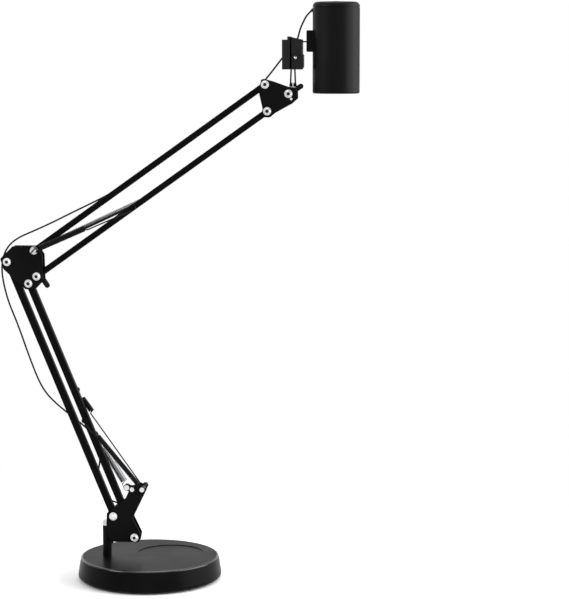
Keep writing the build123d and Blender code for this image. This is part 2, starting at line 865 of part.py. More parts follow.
# Clamp: a block with a ridge, a groove down its face, and a far wall behind its button
groove_x = swivel_x - groove_left
clamp_right_x = swivel_x + clamp_right
clamp_far = clamp_half_depth - clamp_back
button_top = fork_top + clamp_button_height
tongue_level = fork_top + tongue_rise
with BuildPart() as clamp_body:
    with BuildSketch(side(clamp_half_depth)):
        with BuildLine():
            ridge_top = fork_top + clamp_ridge_height
            Polyline(
                (swivel_x - clamp_left, fork_top),
                (clamp_right_x, fork_top),
                (clamp_right_x, fork_top + clamp_height),
                (groove_x + groove_width, ridge_top - clamp_ridge_slope),
                (groove_x, ridge_top),
                (swivel_x - clamp_ridge_left, ridge_top),
                (swivel_x - clamp_ridge_left, fork_top + clamp_height),
                (swivel_x - clamp_left, fork_top + clamp_height),
                close=True,
            )
        make_face()
    extrude(amount=2 * clamp_half_depth)
    fillet(clamp_body.edges().filter_by(Axis.Z).group_by(Axis.X)[0], clamp_round)
    cut_depth = clamp_half_depth + clamp_far
    cut_align = (Align.MIN, Align.MAX)
    with BuildSketch(Plane.XY.offset(fork_top + clamp_floor)):
        with Locations((groove_x, clamp_far)):
            Rectangle(groove_width, cut_depth, align=cut_align)
    extrude(amount=clamp_ridge_height, mode=Mode.SUBTRACT)
    with BuildSketch(Plane.XY.offset(fork_top + clamp_floor)):
        with Locations((groove_x, clamp_far)):
            Rectangle(groove_left + 2 * clamp_right, cut_depth, align=cut_align)
    extrude(amount=button_top + working - fork_top - clamp_floor, mode=Mode.SUBTRACT)
    with BuildSketch(side(tongue_half_width + fixed)):
        with Locations((clamp_right_x - tongue_in_clamp, tongue_level)):
            tongue_slot = tongue_thickness + 2 * fixed
            Rectangle(2 * tongue_in_clamp, tongue_slot, align=(Align.MIN, Align.CENTER))
    extrude(amount=2 * (tongue_half_width + fixed), mode=Mode.SUBTRACT)
clamp_body.part.label = "clamp_body"
export_step(clamp_body.part, "parts/clamp_body.step")

with BuildPart() as clamp_button:
    button_left = groove_x + clamp_button_travel + 2 * working
    button_right = swivel_x + clamp_button_reach
    button_bottom = fork_top + clamp_floor + working
    with BuildSketch(side(clamp_far - working)):
        with BuildLine():
            Polyline(
                (button_left, button_bottom),
                (button_right, button_bottom),
                (button_right, button_top),
                (button_left, button_top),
                close=True,
            )
        make_face()
    extrude(amount=clamp_half_depth + clamp_far - working)
    fillet(clamp_button.edges().filter_by(Axis.Y).group_by(Axis.X)[-1], clamp_button_round)
    clamp_screw = (swivel_x + clamp_screw_offset[0], fork_top + clamp_screw_offset[1])
    screw_face = clamp_half_depth + clamp_screw_height
    add(rods([clamp_screw], clamp_screw_radius, -screw_face, -clamp_half_depth))
clamp_button.part.label = "clamp_button"
export_step(clamp_button.part, "parts/clamp_button.step")

# Tongue and mount block
block_left = clamp_right_x + block_gap
projector_x = block_left + block_depth + projector_radius
tongue_right = block_left + tongue_in_block
with BuildPart() as tongue:
    with BuildSketch(side(tongue_half_width)):
        with Locations((tongue_right, tongue_level)):
            tongue_length = tongue_right - clamp_right_x + tongue_in_clamp
            Rectangle(tongue_length, tongue_thickness, align=(Align.MAX, Align.CENTER))
    extrude(amount=2 * tongue_half_width)
tongue.part.label = "tongue"
export_step(tongue.part, "parts/tongue.step")

with BuildPart() as mount_block:
    block_bottom = tongue_level - block_below
    with BuildSketch(side(block_half_width)):
        with Locations((block_left, block_bottom)):
            block_length = block_depth + projector_radius / 2
            Rectangle(block_length, block_height, align=(Align.MIN, Align.MIN))
    extrude(amount=2 * block_half_width)
    fillet(mount_block.faces().sort_by(Axis.X)[0].edges(), block_round)
    add(
        tube(projector_x, projector_radius, 0, block_bottom - 1, block_bottom + block_height + 1),
        mode=Mode.SUBTRACT,
    )
    with BuildSketch(side(tongue_half_width + fixed)):
        with Locations((tongue_right + fixed, tongue_level)):
            Rectangle(2 * tongue_in_block, tongue_slot, align=(Align.MAX, Align.CENTER))
    extrude(amount=2 * (tongue_half_width + fixed), mode=Mode.SUBTRACT)
mount_block.part.label = "mount_block"
export_step(mount_block.part, "parts/mount_block.step")

# Projector's shell, cap, button and focus ring
ring_bottom = tongue_level - ring_drop
ring_top = ring_bottom + ring_height
shell_bottom = ring_top + working
shell_top = shell_bottom + shell_length
shell_inner = projector_radius - shell_wall
dip = math.radians(gland_dip)
gland_way = Vector(-math.cos(dip), 0, -math.sin(dip))
gland_seat = Vector(projector_x - projector_radius, 0, shell_top - gland_drop)
gland_plane = Plane(origin=gland_seat, x_dir=(0, 1, 0), z_dir=gland_way)
with BuildPart() as projector_shell:
    add(tube(projector_x, projector_radius, shell_inner, shell_bottom, shell_top))
    with BuildSketch(gland_plane.offset(gland_out)):
        Circle(gland_radius + fixed)
    extrude(amount=-gland_out - 2 * gland_in, mode=Mode.SUBTRACT)
projector_shell.part.label = "projector_shell"
export_step(projector_shell.part, "parts/projector_shell.step")

with BuildPart() as cord_gland:
    with BuildSketch(gland_plane.offset(gland_out)):
        Circle(gland_radius)
    extrude(amount=-gland_out - gland_in)
cord_gland.part.label = "cord_gland"
export_step(cord_gland.part, "parts/cord_gland.step")

cap_bottom = shell_top + cap_seam
cap_top = cap_bottom + cap_height
with BuildPart() as top_cap:
    add(tube(projector_x, projector_radius, 0, cap_bottom, cap_top))
    fillet(top_cap.faces().sort_by(Axis.Z)[-1].edges(), cap_round)
    add(
        tube(
            projector_x,
            power_button_radius + running,
            0,
            cap_bottom + cap_floor,
            cap_top + 1,
        ),
        mode=Mode.SUBTRACT,
    )
    spigot_radius = shell_inner - running
    spigot_bore = spigot_radius - cap_spigot_wall
    add(tube(projector_x, spigot_radius, spigot_bore, shell_top - cap_spigot_length, cap_bottom))
top_cap.part.label = "top_cap"
export_step(top_cap.part, "parts/top_cap.step")

with BuildPart() as power_button:
    power_bottom = cap_bottom + cap_floor + power_button_travel + working
    add(tube(projector_x, power_button_radius, 0, power_bottom, cap_top + power_button_proud))
    fillet(power_button.faces().sort_by(Axis.Z)[-1].edges(), power_button_round)
power_button.part.label = "power_button"
export_step(power_button.part, "parts/power_button.step")

with BuildPart() as focus_ring:
    add(tube(projector_x, ring_radius, ring_bore_radius, ring_bottom, ring_top))
    ring_edge = focus_ring.faces().sort_by(Axis.Z)[0].outer_wire().edges()
    fillet(ring_edge, ring_round)
    spigot_top = ring_top + ring_spigot_length
    add(tube(projector_x, spigot_radius, spigot_radius - ring_spigot_wall, ring_top, spigot_top))
focus_ring.part.label = "focus_ring"
export_step(focus_ring.part, "parts/focus_ring.step")

# Optics, from the lens barrel up to the light source
barrel_bottom = ring_bottom + barrel_rise
barrel_top = barrel_bottom + barrel_length
barrel_bore = barrel_radius - barrel_wall
with BuildPart() as lens_barrel:
    add(tube(projector_x, barrel_radius, barrel_bore, barrel_bottom, barrel_top))
lens_barrel.part.label = "lens_barrel"
export_step(lens_barrel.part, "parts/lens_barrel.step")

with BuildPart() as projection_lens:
    lens_bottom = barrel_bottom + projection_lens_rise
    lens_radius = barrel_bore - fixed
    add(lens(projector_x, lens_radius, lens_bottom, projection_lens_height, lens_crown))
projection_lens.part.label = "projection_lens"
export_step(projection_lens.part, "parts/projection_lens.step")

aperture_bottom = barrel_top + barrel_travel + aperture_gap
slide_level = aperture_bottom + aperture_thickness
slide_top = slide_level + slide_thickness
condenser_level = slide_top + condenser_gap
frame_top = condenser_level + condenser_height + frame_above_condenser
with BuildPart() as optics_frame:
    frame_bore = barrel_radius + running
    seat_bore = slide_radius + fixed
    add(tube(projector_x, spigot_radius, frame_bore, ring_bottom + frame_rise, aperture_bottom))
    add(tube(projector_x, spigot_radius, aperture_radius, aperture_bottom, slide_level))
    add(tube(projector_x, spigot_radius, seat_bore, slide_level, frame_top))
    spacer_bore = slide_radius - spacer_ring_wall
    spacer_top = condenser_level + lens_crown * (spacer_bore / slide_radius) ** 2 - running
    add(tube(projector_x, slide_radius - fixed, spacer_bore, slide_top + fixed, spacer_top))
optics_frame.part.label = "optics_frame"
export_step(optics_frame.part, "parts/optics_frame.step")

with BuildPart() as image_slide:
    add(tube(projector_x, slide_radius, 0, slide_level, slide_top))
image_slide.part.label = "image_slide"
export_step(image_slide.part, "parts/image_slide.step")

with BuildPart() as condenser_lens:
    add(lens(projector_x, slide_radius, condenser_level, condenser_height, lens_crown))
condenser_lens.part.label = "condenser_lens"
export_step(condenser_lens.part, "parts/condenser_lens.step")

sink_bottom = frame_top + sink_gap
with BuildPart() as heat_sink:
    add(tube(projector_x, spigot_radius, 0, sink_bottom, sink_bottom + sink_plate))
    with BuildSketch(Plane.XY.offset(sink_bottom + sink_plate)):
        with Locations((projector_x, 0)):
            with GridLocations(0, fin_pitch, 1, fin_count):
                Rectangle(fin_length, fin_thickness)
    extrude(amount=fin_height)
heat_sink.part.label = "heat_sink"
export_step(heat_sink.part, "parts/heat_sink.step")

with BuildPart() as led_board:
    board_bottom = sink_bottom - board_thickness
    add(tube(projector_x, board_radius, 0, board_bottom, sink_bottom))
    with BuildSketch(Plane.XY.offset(board_bottom)):
        with Locations((projector_x, 0)):
            Rectangle(chip_size, chip_size)
    extrude(amount=-chip_height)
led_board.part.label = "led_board"
export_step(led_board.part, "parts/led_board.step")


# Springs and coils, as wires along stations of (point, direction)
def arcs_through(stations):
    """Two tangent arcs from each station to the next, or a line where they are in line."""
    edges = []
    for (first, first_way), (last, last_way) in zip(stations, stations[1:]):
        chord = last - first
        curve = 2 * (1 - first_way.dot(last_way))
        if chord.normalized().dot(first_way) > 1 - 1e-9 and curve < 1e-9:
            edges.append(Edge.make_line(first, last))
            continue
        reach = chord.dot(first_way + last_way)
        if curve < 1e-9:
            step = chord.dot(chord) / (2 * reach)
        else:
            step = (math.sqrt(reach * reach + curve * chord.dot(chord)) - reach) / curve
        middle = (first + last + (first_way - last_way) * step) * 0.5
        middle_way = (last - last_way * step) - (first + first_way * step)
        edges.append(Edge.make_tangent_arc(first, first_way, middle))
        edges.append(Edge.make_tangent_arc(middle, middle_way.normalized(), last))
    return edges


def wire_along(stations, radius):
    first, way = stations[0]
    with BuildPart() as made:
        with BuildSketch(Plane(origin=first, z_dir=way)):
            Circle(radius)
        sweep(path=Wire(arcs_through(stations)))
    return made.part


def least_gap(points, diameter, apart):
    """The least gap of a wound wire to itself, between points at least apart in the list."""
    gap = math.inf
    for i, one in enumerate(points):
        for other in points[i + apart :]:
            gap = min(gap, (one - other).length - diameter)
    return gap


def spring_frame(start, end, depth, way):
    """A spring's two pins, its axis, and the side on which its wire leaves the pins."""
    foot = Vector(start[0], depth, start[1])
    top = Vector(end[0], depth, end[1])
    axis = (top - foot).normalized()
    return foot, top, axis, axis.cross(Vector(0, way, 0)).normalized()


def coil_spring(name, start, end, depth, way, lead, curls, length, wire, radius):
    """An eye round the foot's pin, a lead, the curls, and a short straight end."""
    foot, top, axis, across = spring_frame(start, end, depth, way)
    upward = axis.cross(across)
    stations = []
    for k in (3, 2, 1, 0):
        angle = math.radians(90 * k)
        spin = across * math.cos(angle) - axis * math.sin(angle)
        stations.append((foot + spin * radius, across * math.sin(angle) + axis * math.cos(angle)))
    stations.append((foot + across * radius + axis * (lead - coil_lead / 2), axis))
    rise = length / curls / (2 * math.pi)

    def curl(angle):
        spin = across * math.cos(angle) + upward * math.sin(angle)
        turn = upward * math.cos(angle) - across * math.sin(angle)
        point = foot + axis * (lead + rise * angle) + spin * radius
        return point, (axis * rise + turn * radius).normalized()

    stations += [curl(k * math.pi / 2) for k in range(4 * curls + 1)]
    stations.append((foot + across * radius + axis * (lead + length + coil_lead / 2), axis))
    measured = [curl(k * math.pi / 12)[0] for k in range(24 * min(curls, 4) + 1)]
    gap = least_gap(measured, wire, 12)
    print(f"{name}: {curls} curls, least gap to itself {gap:.2f} mm")
    return wire_along(stations, wire / 2)


def spring_hook(start, end, depth, way, lead, length, wire, radius):
    """The straight wire from the curls' end to the eye round the upper stud."""
    foot, top, axis, across = spring_frame(start, end, depth, way)
    begin = foot + across * radius + axis * (lead + length + coil_lead / 2)
    stations = [(begin, axis)]
    for k in (0, 1, 2, 3):
        angle = math.radians(90 * k)
        spin = across * math.cos(angle) + axis * math.sin(angle)
        stations.append((top + spin * radius, axis * math.cos(angle) - across * math.sin(angle)))
    return wire_along(stations, wire / 2)


lower_anchor = polar(lower_right, lower_stud, lower_arm_angle)
tie_anchor = polar(lower_right, tie_stud, lower_arm_angle)
balance_anchor = polar(lower_right, balance_stud, lower_arm_angle)
near_anchor = polar(elbow_right, upper_near_stud, upper_arm_angle)
far_anchor = polar(elbow_right, upper_far_stud, upper_arm_angle)
lower_ends = (horn, lower_anchor, -spring_depth, 1)
tie_ends = (horn, tie_anchor, spring_depth, 1)
balance_ends = (balance_pin_place, balance_anchor, spring_depth, 1)
near_ends = (elbow_top, near_anchor, -spring_depth, -1)
far_ends = (elbow_top, far_anchor, spring_depth, -1)
plain = (spring_wire, spring_mean_radius)
heavy = (tie_wire, spring_mean_radius)
wide = (spring_wire, balance_mean_radius)

with BuildPart() as lower_springs:
    add(coil_spring("lower near", *lower_ends, coil_lead, lower_curls, lower_coil, *plain))
    add(coil_spring("lower far", *tie_ends, tie_lead, tie_curls, tie_coil, *heavy))
lower_springs.part.label = "lower_springs"
export_step(lower_springs.part, "parts/lower_springs.step")

with BuildPart() as lower_spring_hooks:
    add(spring_hook(*lower_ends, coil_lead, lower_coil, *plain))
    add(spring_hook(*tie_ends, tie_lead, tie_coil, *heavy))
lower_spring_hooks.part.label = "lower_spring_hooks"
export_step(lower_spring_hooks.part, "parts/lower_spring_hooks.step")

with BuildPart() as balance_spring:
    add(coil_spring("balance", *balance_ends, coil_lead, balance_curls, balance_coil, *wide))
balance_spring.part.label = "balance_spring"
export_step(balance_spring.part, "parts/balance_spring.step")

with BuildPart() as balance_hook:
    add(spring_hook(*balance_ends, coil_lead, balance_coil, *wide))
balance_hook.part.label = "balance_hook"
export_step(balance_hook.part, "parts/balance_hook.step")

with BuildPart() as upper_springs:
    add(coil_spring("upper near", *near_ends, coil_lead, upper_curls, upper_coil, *plain))
    add(coil_spring("upper far", *far_ends, coil_lead, far_curls, far_coil, *plain))
upper_springs.part.label = "upper_springs"
export_step(upper_springs.part, "parts/upper_springs.step")

with BuildPart() as upper_spring_hooks:
    add(spring_hook(*near_ends, coil_lead, upper_coil, *plain))
    add(spring_hook(*far_ends, coil_lead, far_coil, *plain))
upper_spring_hooks.part.label = "upper_spring_hooks"
export_step(upper_spring_hooks.part, "parts/upper_spring_hooks.step")


# Cord: straight runs joined by tangent arcs
def coil_station(angle):
    """A point of the cord's coil and its direction, at an angle in radians from its start."""
    offset = angle - 2 * math.pi * coil_turns_per_layer
    smooth = math.hypot(offset, coil_turnback)
    growth = coil_pitch / (2 * math.pi)
    radius = coil_inner_radius + growth * (smooth - coil_turnback)
    climb = min(1.0, max(0.0, offset / math.pi + 0.5))
    level = coil_rest + coil_layer_rise * (1 - math.cos(math.pi * climb)) / 2
    steep = coil_layer_rise * math.sin(math.pi * climb) / 2
    place = math.pi - angle
    spin = Vector(math.cos(place), math.sin(place), 0)
    turn = Vector(math.sin(place), -math.cos(place), 0)
    middle = Vector(coil_centre[0], coil_centre[1], level)
    way = turn * radius + spin * (growth * offset / smooth) + Vector(0, 0, steep)
    return middle + spin * radius, way.normalized()


quarters = round(8 * coil_turns_per_layer)
coil_stations = [coil_station(k * math.pi / 2) for k in range(quarters + 1)]
coil_first, coil_first_way = coil_stations[0]
coil_last, coil_last_way = coil_stations[-1]
coil_begin = coil_first - coil_first_way * cord_diameter
plug_seat = coil_last + coil_last_way * coil_tail
gland_face = gland_seat + gland_way * gland_out
route = [gland_face, gland_face + gland_way * cord_exit_run]
route += [Vector(*point) for point in cord_points]
route += [coil_begin - coil_first_way * cord_last_run, coil_begin]
stretch_ends["cord_base"] = len(route) - 1

route_radii = [0.0]
for before, here, after in zip(route, route[1:], route[2:]):
    shorter = min((here - before).length, (after - here).length)
    bend = math.radians((here - before).get_angle(after - here))
    route_radii.append(0.45 * shorter / math.tan(bend / 2))


def cord_tube(name, points, radii):
    """A stretch of cord from the first point to the last, with the corners' radii."""
    with BuildPart() as made:
        with BuildLine() as path:
            FilletPolyline(*points, radius=radii)
        with BuildSketch(Plane(origin=points[0], z_dir=points[1] - points[0])):
            Circle(cord_diameter / 2)
        sweep(path=path.wire())
    length = path.wire().length
    share = made.part.volume / (math.pi * cord_diameter**2 / 4 * length)
    shown = " ".join(f"{radius:.0f}" for radius in radii)
    print(f"{name}: {length:.1f} mm, volume share {share:.4f}, radii {shown}")
    return made.part, length


cord_length = 0.0
begin, corner = route[0], 1
for stretch, last_corner in stretch_ends.items():
    if last_corner == len(route) - 1:
        corners, radii, finish = route[corner:-1], route_radii[corner:], route[-1]
    else:
        corners = route[corner : last_corner + 1]
        radii = route_radii[corner : last_corner + 1]
        finish = (route[last_corner] + route[last_corner + 1]) * 0.5
    cord_part, stretch_length = cord_tube(stretch, [begin, *corners, finish], radii)
    cord_length += stretch_length
    cord_part.label = stretch
    export_step(cord_part, f"parts/{stretch}.step")
    begin, corner = finish, last_corner + 1

with BuildPart() as cord_coil:
    tail_end = (plug_seat, coil_last_way)
    add(wire_along([(coil_begin, coil_first_way), *coil_stations, tail_end], cord_diameter / 2))
cord_coil.part.label = "cord_coil"
export_step(cord_coil.part, "parts/cord_coil.step")
coil_steps = coil_samples * quarters // 2
measured_coil = [coil_station(k * math.pi / coil_samples)[0] for k in range(coil_steps + 1)]
coil_length = sum((b - a).length for a, b in zip(measured_coil, measured_coil[1:])) + coil_tail
coil_gap = least_gap(measured_coil, cord_diameter, coil_samples)
print(f"cord_coil: {quarters / 4} turns, least gap to itself {coil_gap:.2f} mm")
print(f"cord: {cord_length + coil_length:.0f} mm, of which the coil is {coil_length:.0f} mm")

with BuildPart() as cord_plug:
    plug_height = 2 * (coil_rest + coil_layer_rise) - working
    plug_plane = Plane(origin=plug_seat, x_dir=(0, 0, 1), z_dir=coil_last_way)
    with BuildSketch(plug_plane):
        Rectangle(plug_height, plug_width)
    extrude(amount=plug_length)
    fillet(cord_plug.edges(), plug_round)
    with BuildSketch(plug_plane.offset(plug_length)):
        Rectangle(plug_shell_height, plug_shell_width)
    extrude(amount=plug_shell_length)
cord_plug.part.label = "cord_plug"
export_step(cord_plug.part, "parts/cord_plug.step")
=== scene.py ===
# %% [markdown]
# # An art projector on a spring-balanced arm
# The object is a small projector in the shape of a black cylinder. It hangs from an arm of two
# parallelograms, whose springs carry its weight, over a round weighted base. The solid model
# gives the rigid pieces and their places. This lesson adds what a solid model leaves plain:
# closely wound springs, the power cord, and the finish of every surface.

# %% Load the frame
import math

import bpy
import numpy as np
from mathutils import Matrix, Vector


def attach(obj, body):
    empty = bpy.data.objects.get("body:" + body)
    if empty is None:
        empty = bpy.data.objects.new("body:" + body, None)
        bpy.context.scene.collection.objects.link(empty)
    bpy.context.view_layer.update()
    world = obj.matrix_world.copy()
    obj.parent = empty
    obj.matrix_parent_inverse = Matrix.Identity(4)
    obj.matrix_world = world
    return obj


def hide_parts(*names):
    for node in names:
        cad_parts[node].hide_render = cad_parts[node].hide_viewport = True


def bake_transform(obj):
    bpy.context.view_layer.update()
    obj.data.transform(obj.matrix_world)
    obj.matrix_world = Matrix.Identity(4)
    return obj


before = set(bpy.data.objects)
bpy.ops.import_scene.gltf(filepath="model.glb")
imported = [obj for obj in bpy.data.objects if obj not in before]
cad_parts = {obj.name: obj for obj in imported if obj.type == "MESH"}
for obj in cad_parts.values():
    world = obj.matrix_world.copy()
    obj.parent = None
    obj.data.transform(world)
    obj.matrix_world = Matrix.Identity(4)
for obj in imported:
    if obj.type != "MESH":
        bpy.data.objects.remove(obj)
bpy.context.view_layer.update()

# %% [markdown]
# ## Where the camera stands
# The photograph was taken from far away with a long lens, 5 degrees to the right of the arm's
# plane and a little above the middle of the arm. A long lens keeps the post and the projector
# upright in the picture. The camera comes first, because the cord's hidden part has to lie
# where the camera can't see it.

# %% Camera
camera_place = Vector((0.39325, -2.54030, 0.66000))
camera_target = Vector((0.17100, 0.0, 0.35635))
sensor_width_mm, focal_length_mm = 36.0, 124.43
camera_data = bpy.data.cameras.new("camera")
camera_data.sensor_width = sensor_width_mm
camera_data.lens = focal_length_mm
camera = bpy.data.objects.new("camera", camera_data)
bpy.context.collection.objects.link(camera)
camera.location = camera_place
camera.rotation_euler = (camera_target - camera_place).to_track_quat("-Z", "Y").to_euler()
bpy.context.scene.camera = camera
print("camera distance, m:", round((camera_target - camera_place).length, 3))

# %% [markdown]
# ## Tubes along a path
# A cord and a spring's wire are both a round section carried along a line. At every point of
# the line the section needs two directions across it. Turning a fixed pair with the line's own
# bends, and never about the line itself, keeps the skin free of twist.


# %% Points to a mesh
def mesh_piece(name, vertices, faces, smooth=True):
    """A mesh object at the origin, with its place in its vertices."""
    mesh = bpy.data.meshes.new(name)
    mesh.from_pydata(vertices.tolist(), [], faces)
    mesh.polygons.foreach_set("use_smooth", np.full(len(mesh.polygons), smooth))
    mesh.update()
    piece = bpy.data.objects.new(name, mesh)
    bpy.context.collection.objects.link(piece)
    return piece


def grid_faces(rows, columns):
    """The four-sided faces between rows of points, each row closed on itself."""
    row, column = np.meshgrid(np.arange(rows - 1), np.arange(columns), indexing="ij")
    after = (column + 1) % columns
    corners = (row * columns + column, row * columns + after)
    corners += ((row + 1) * columns + after, (row + 1) * columns + column)
    return np.stack(corners, axis=-1).reshape(-1, 4)


def cap_faces(middle, first, columns):
    """A fan of triangles from a middle point to a closed row of points, the first one given."""
    column = np.arange(columns)
    middles = np.full(columns, middle)
    return np.stack((middles, first + column, first + (column + 1) % columns), axis=-1)


# %% A tube along a line
no_line_starts_this_way = (0.31, 0.17, 0.93)


def across_line(line):
    """Two directions across a line at each of its points, which turn only as the line bends."""
    along = np.gradient(line, axis=0)
    along /= np.linalg.norm(along, axis=1, keepdims=True)
    first = np.cross(along[0], no_line_starts_this_way)
    sides = [first / np.linalg.norm(first)]
    for way in along[1:]:
        side = sides[-1] - way * (sides[-1] @ way)
        sides.append(side / np.linalg.norm(side))
    sides = np.array(sides)
    return sides, np.cross(along, sides)


def tube_piece(name, line, radius, columns):
    """Circles carried along a line: point = line + radius * (side * cos + up * sin)."""
    sides, ups = across_line(line)
    turn = np.linspace(0, 2 * math.pi, columns, endpoint=False)[None, :, None]
    circle = sides[:, None] * np.cos(turn) + ups[:, None] * np.sin(turn)
    skin = line[:, None] + radius * circle
    vertices = np.vstack((skin.reshape(-1, 3), line[:1], line[-1:]))
    start_cap = cap_faces(len(vertices) - 2, 0, columns)[:, ::-1]
    end_cap = cap_faces(len(vertices) - 1, (len(line) - 1) * columns, columns)
    faces = grid_faces(len(line), columns).tolist() + start_cap.tolist() + end_cap.tolist()
    return mesh_piece(name, vertices, faces)


# %% [markdown]
# ## The power cord
# The cord is 2.2 mm thick and 1.8 m long. It leaves the projector just under its lid, loops
# past the clamp, dips through the head, and runs behind the upper arm. At the elbow it bows
# out to the left, follows the lower arm, and goes down behind the post to the table. What the
# photograph doesn't show of it is wound up behind the base. Each stretch crosses one joint, so
# each is a piece of its own.

# %% The cord's route
cord_diameter = 0.0022
cord_columns = 12
cord_route = [
    (0.2036419, 0.0, 0.7107325),
    (0.1990456, 0.0, 0.7068757),
    (0.1946, 0.0016, 0.6992),
    (0.1896, 0.0072, 0.6894),
    (0.1866, 0.0132, 0.6790),
    (0.1824, 0.0133, 0.6676),
    (0.1722, 0.0130, 0.6612),
    (0.1662, 0.0129, 0.6526),
    (0.1572, 0.0131, 0.6409),
    (0.1474, 0.0134, 0.6286),
    (0.1394, 0.0132, 0.6200),
    (0.1282, 0.0086, 0.6086),
    (0.1080, 0.0063, 0.5932),
    (0.0720, 0.0060, 0.5686),
    (0.0260, 0.0062, 0.5346),
    (-0.0180, 0.0060, 0.5044),
    (-0.0480, 0.0070, 0.4856),
    (-0.0737, 0.0080, 0.4728),
    (-0.0991, 0.0085, 0.4606),
    (-0.1247, 0.0090, 0.4478),
    (-0.1460, 0.0092, 0.4383),
    (-0.1625, 0.0094, 0.4312),
    (-0.1730, 0.0094, 0.4244),
    (-0.1808, 0.0094, 0.4152),
    (-0.1857, 0.0094, 0.4026),
    (-0.1869, 0.0096, 0.3876),
    (-0.1845, 0.0099, 0.3696),
    (-0.1786, 0.0106, 0.3468),
    (-0.1674, 0.0116, 0.3190),
    (-0.1549, 0.0132, 0.2807),
    (-0.1427, 0.0148, 0.2473),
    (-0.1319, 0.0158, 0.2290),
    (-0.1132, 0.0162, 0.2119),
    (-0.0914, 0.0162, 0.1955),
    (-0.0774, 0.0162, 0.1830),
    (-0.0680, 0.0162, 0.1652),
    (-0.0652, 0.0162, 0.1474),
    (-0.0680, 0.0162, 0.1334),
    (-0.0664, 0.0162, 0.1182),
    (-0.0626, 0.0162, 0.1054),
    (-0.0545, 0.0162, 0.0953),
    (-0.0425, 0.0162, 0.0918),
    (-0.0346, 0.0160, 0.0834),
    (-0.0334, 0.0158, 0.0696),
    (-0.0398, 0.0157, 0.0560),
    (-0.0484, 0.0166, 0.0436),
    (-0.0554, 0.0204, 0.0344),
    (-0.0586, 0.0296, 0.0306),
    (-0.0614, 0.0440, 0.0307),
    (-0.0642, 0.0584, 0.0315),
    (-0.0664, 0.0700, 0.0264),
    (-0.0682, 0.0796, 0.0166),
    (-0.0698, 0.0894, 0.0068),
    (-0.0709258, 0.1038032, 0.00115),
    (-0.0706714, 0.1158005, 0.00115),
]
cord_route = np.array(cord_route)
print("points on the cord's route:", len(cord_route))

# %% [markdown]
# Each stretch starts and ends in the middle of a run between two points of the route, where a
# smooth line through such points touches the run. So the stretches meet end to end, without a
# kink.

# %% The stretches of the cord
# name: (number of its last corner, length, body before, body after, solids it stands for)
cord_stretches = {
    "cord_to_clamp": (6, 0.0692, "carrier", "clevis", ["cord_head"]),
    "cord_at_head": (9, 0.0416, "clevis", "head", ["cord_neck"]),
    "cord_behind_upper_arm": (16, 0.2517, "head", "upper_arm", ["cord_upper_arm"]),
    "cord_over_elbow": (24, 0.1578, "upper_arm", "elbow", ["cord_elbow_top"]),
    "cord_beside_lower_arm": (33, 0.2381, "elbow", "lower_arm", ["cord_elbow_side"]),
    "cord_at_yoke": (43, 0.1468, "lower_arm", "yoke", ["cord_yoke"]),
    "cord_to_table": (53, 0.1414, "yoke", "base", ["cord_base"]),
}


def smooth_line(points, steps=10):
    """A NURBS spline of order 3 over the route's points, with so many steps for each of them."""
    curve = bpy.data.curves.new("route", "CURVE")
    curve.dimensions = "3D"
    spline = curve.splines.new("NURBS")
    spline.points.add(len(points) - 1)
    spline.points.foreach_set("co", np.c_[points, np.ones(len(points))].ravel())
    spline.order_u = 3
    spline.use_endpoint_u = True
    spline.resolution_u = steps
    carrier = bpy.data.objects.new("route", curve)
    mesh = bpy.data.meshes.new_from_object(carrier)
    line = np.empty(3 * len(mesh.vertices))
    mesh.vertices.foreach_get("co", line)
    bpy.data.objects.remove(carrier)
    bpy.data.meshes.remove(mesh)
    return line.reshape(-1, 3)


# %% Make the stretches
cords = []
begin, corner = cord_route[0], 1
for name, (last, length, before, after, solids) in cord_stretches.items():
    onward = cord_route[last + 1]
    at_route_end = last + 2 == len(cord_route)
    stop = onward if at_route_end else (cord_route[last] + onward) / 2
    line = smooth_line(np.vstack((begin, cord_route[corner : last + 1], stop)))
    stretch = tube_piece(name, line, cord_diameter / 2, cord_columns)
    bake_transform(stretch)
    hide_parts(*solids)
    cords.append(stretch)
    measured = np.linalg.norm(np.diff(line, axis=0), axis=1).sum()
    print(f"{name}: {measured * 1000:.1f} mm of {length * 1000:.1f} mm")
    begin, corner = stop, last + 1

# %% [markdown]
# ## The wound-up rest of the cord
# Nearly half of the cord lies in a flat coil of two layers. It winds inwards on the table,
# climbs over its own first turns at the middle and winds out again on top, so no turn has to
# pass through another. A spline lies a little inside its control points, so their circle is
# made larger by the share that the spline loses.

# %% Coil and tail
coil_centre = np.array((-0.050, 0.118))
coil_inner_radius = 0.011
coil_turns_per_layer = 3.625
coil_pitch = 0.00275
coil_turnback = 0.8
coil_rest = 0.00115
coil_start_angle = 0.35
points_per_turn = 16
spline_share = 0.75 + 0.25 * math.cos(2 * math.pi / points_per_turn)


def coil_points(angle):
    """radius = inner + pitch * turns from the innermost; height = a half cosine at the climb."""
    offset = angle - 2 * math.pi * coil_turns_per_layer
    growth = coil_pitch / (2 * math.pi)
    radius = coil_inner_radius + growth * (np.hypot(offset, coil_turnback) - coil_turnback)
    radius = radius / spline_share
    climb = np.clip(offset / math.pi + 0.5, 0, 1)
    height = coil_rest + coil_pitch * (1 - np.cos(math.pi * climb)) / 2
    place = math.pi - angle
    x = coil_centre[0] + radius * np.cos(place)
    y = coil_centre[1] + radius * np.sin(place)
    return np.stack((x, y, height), axis=-1)


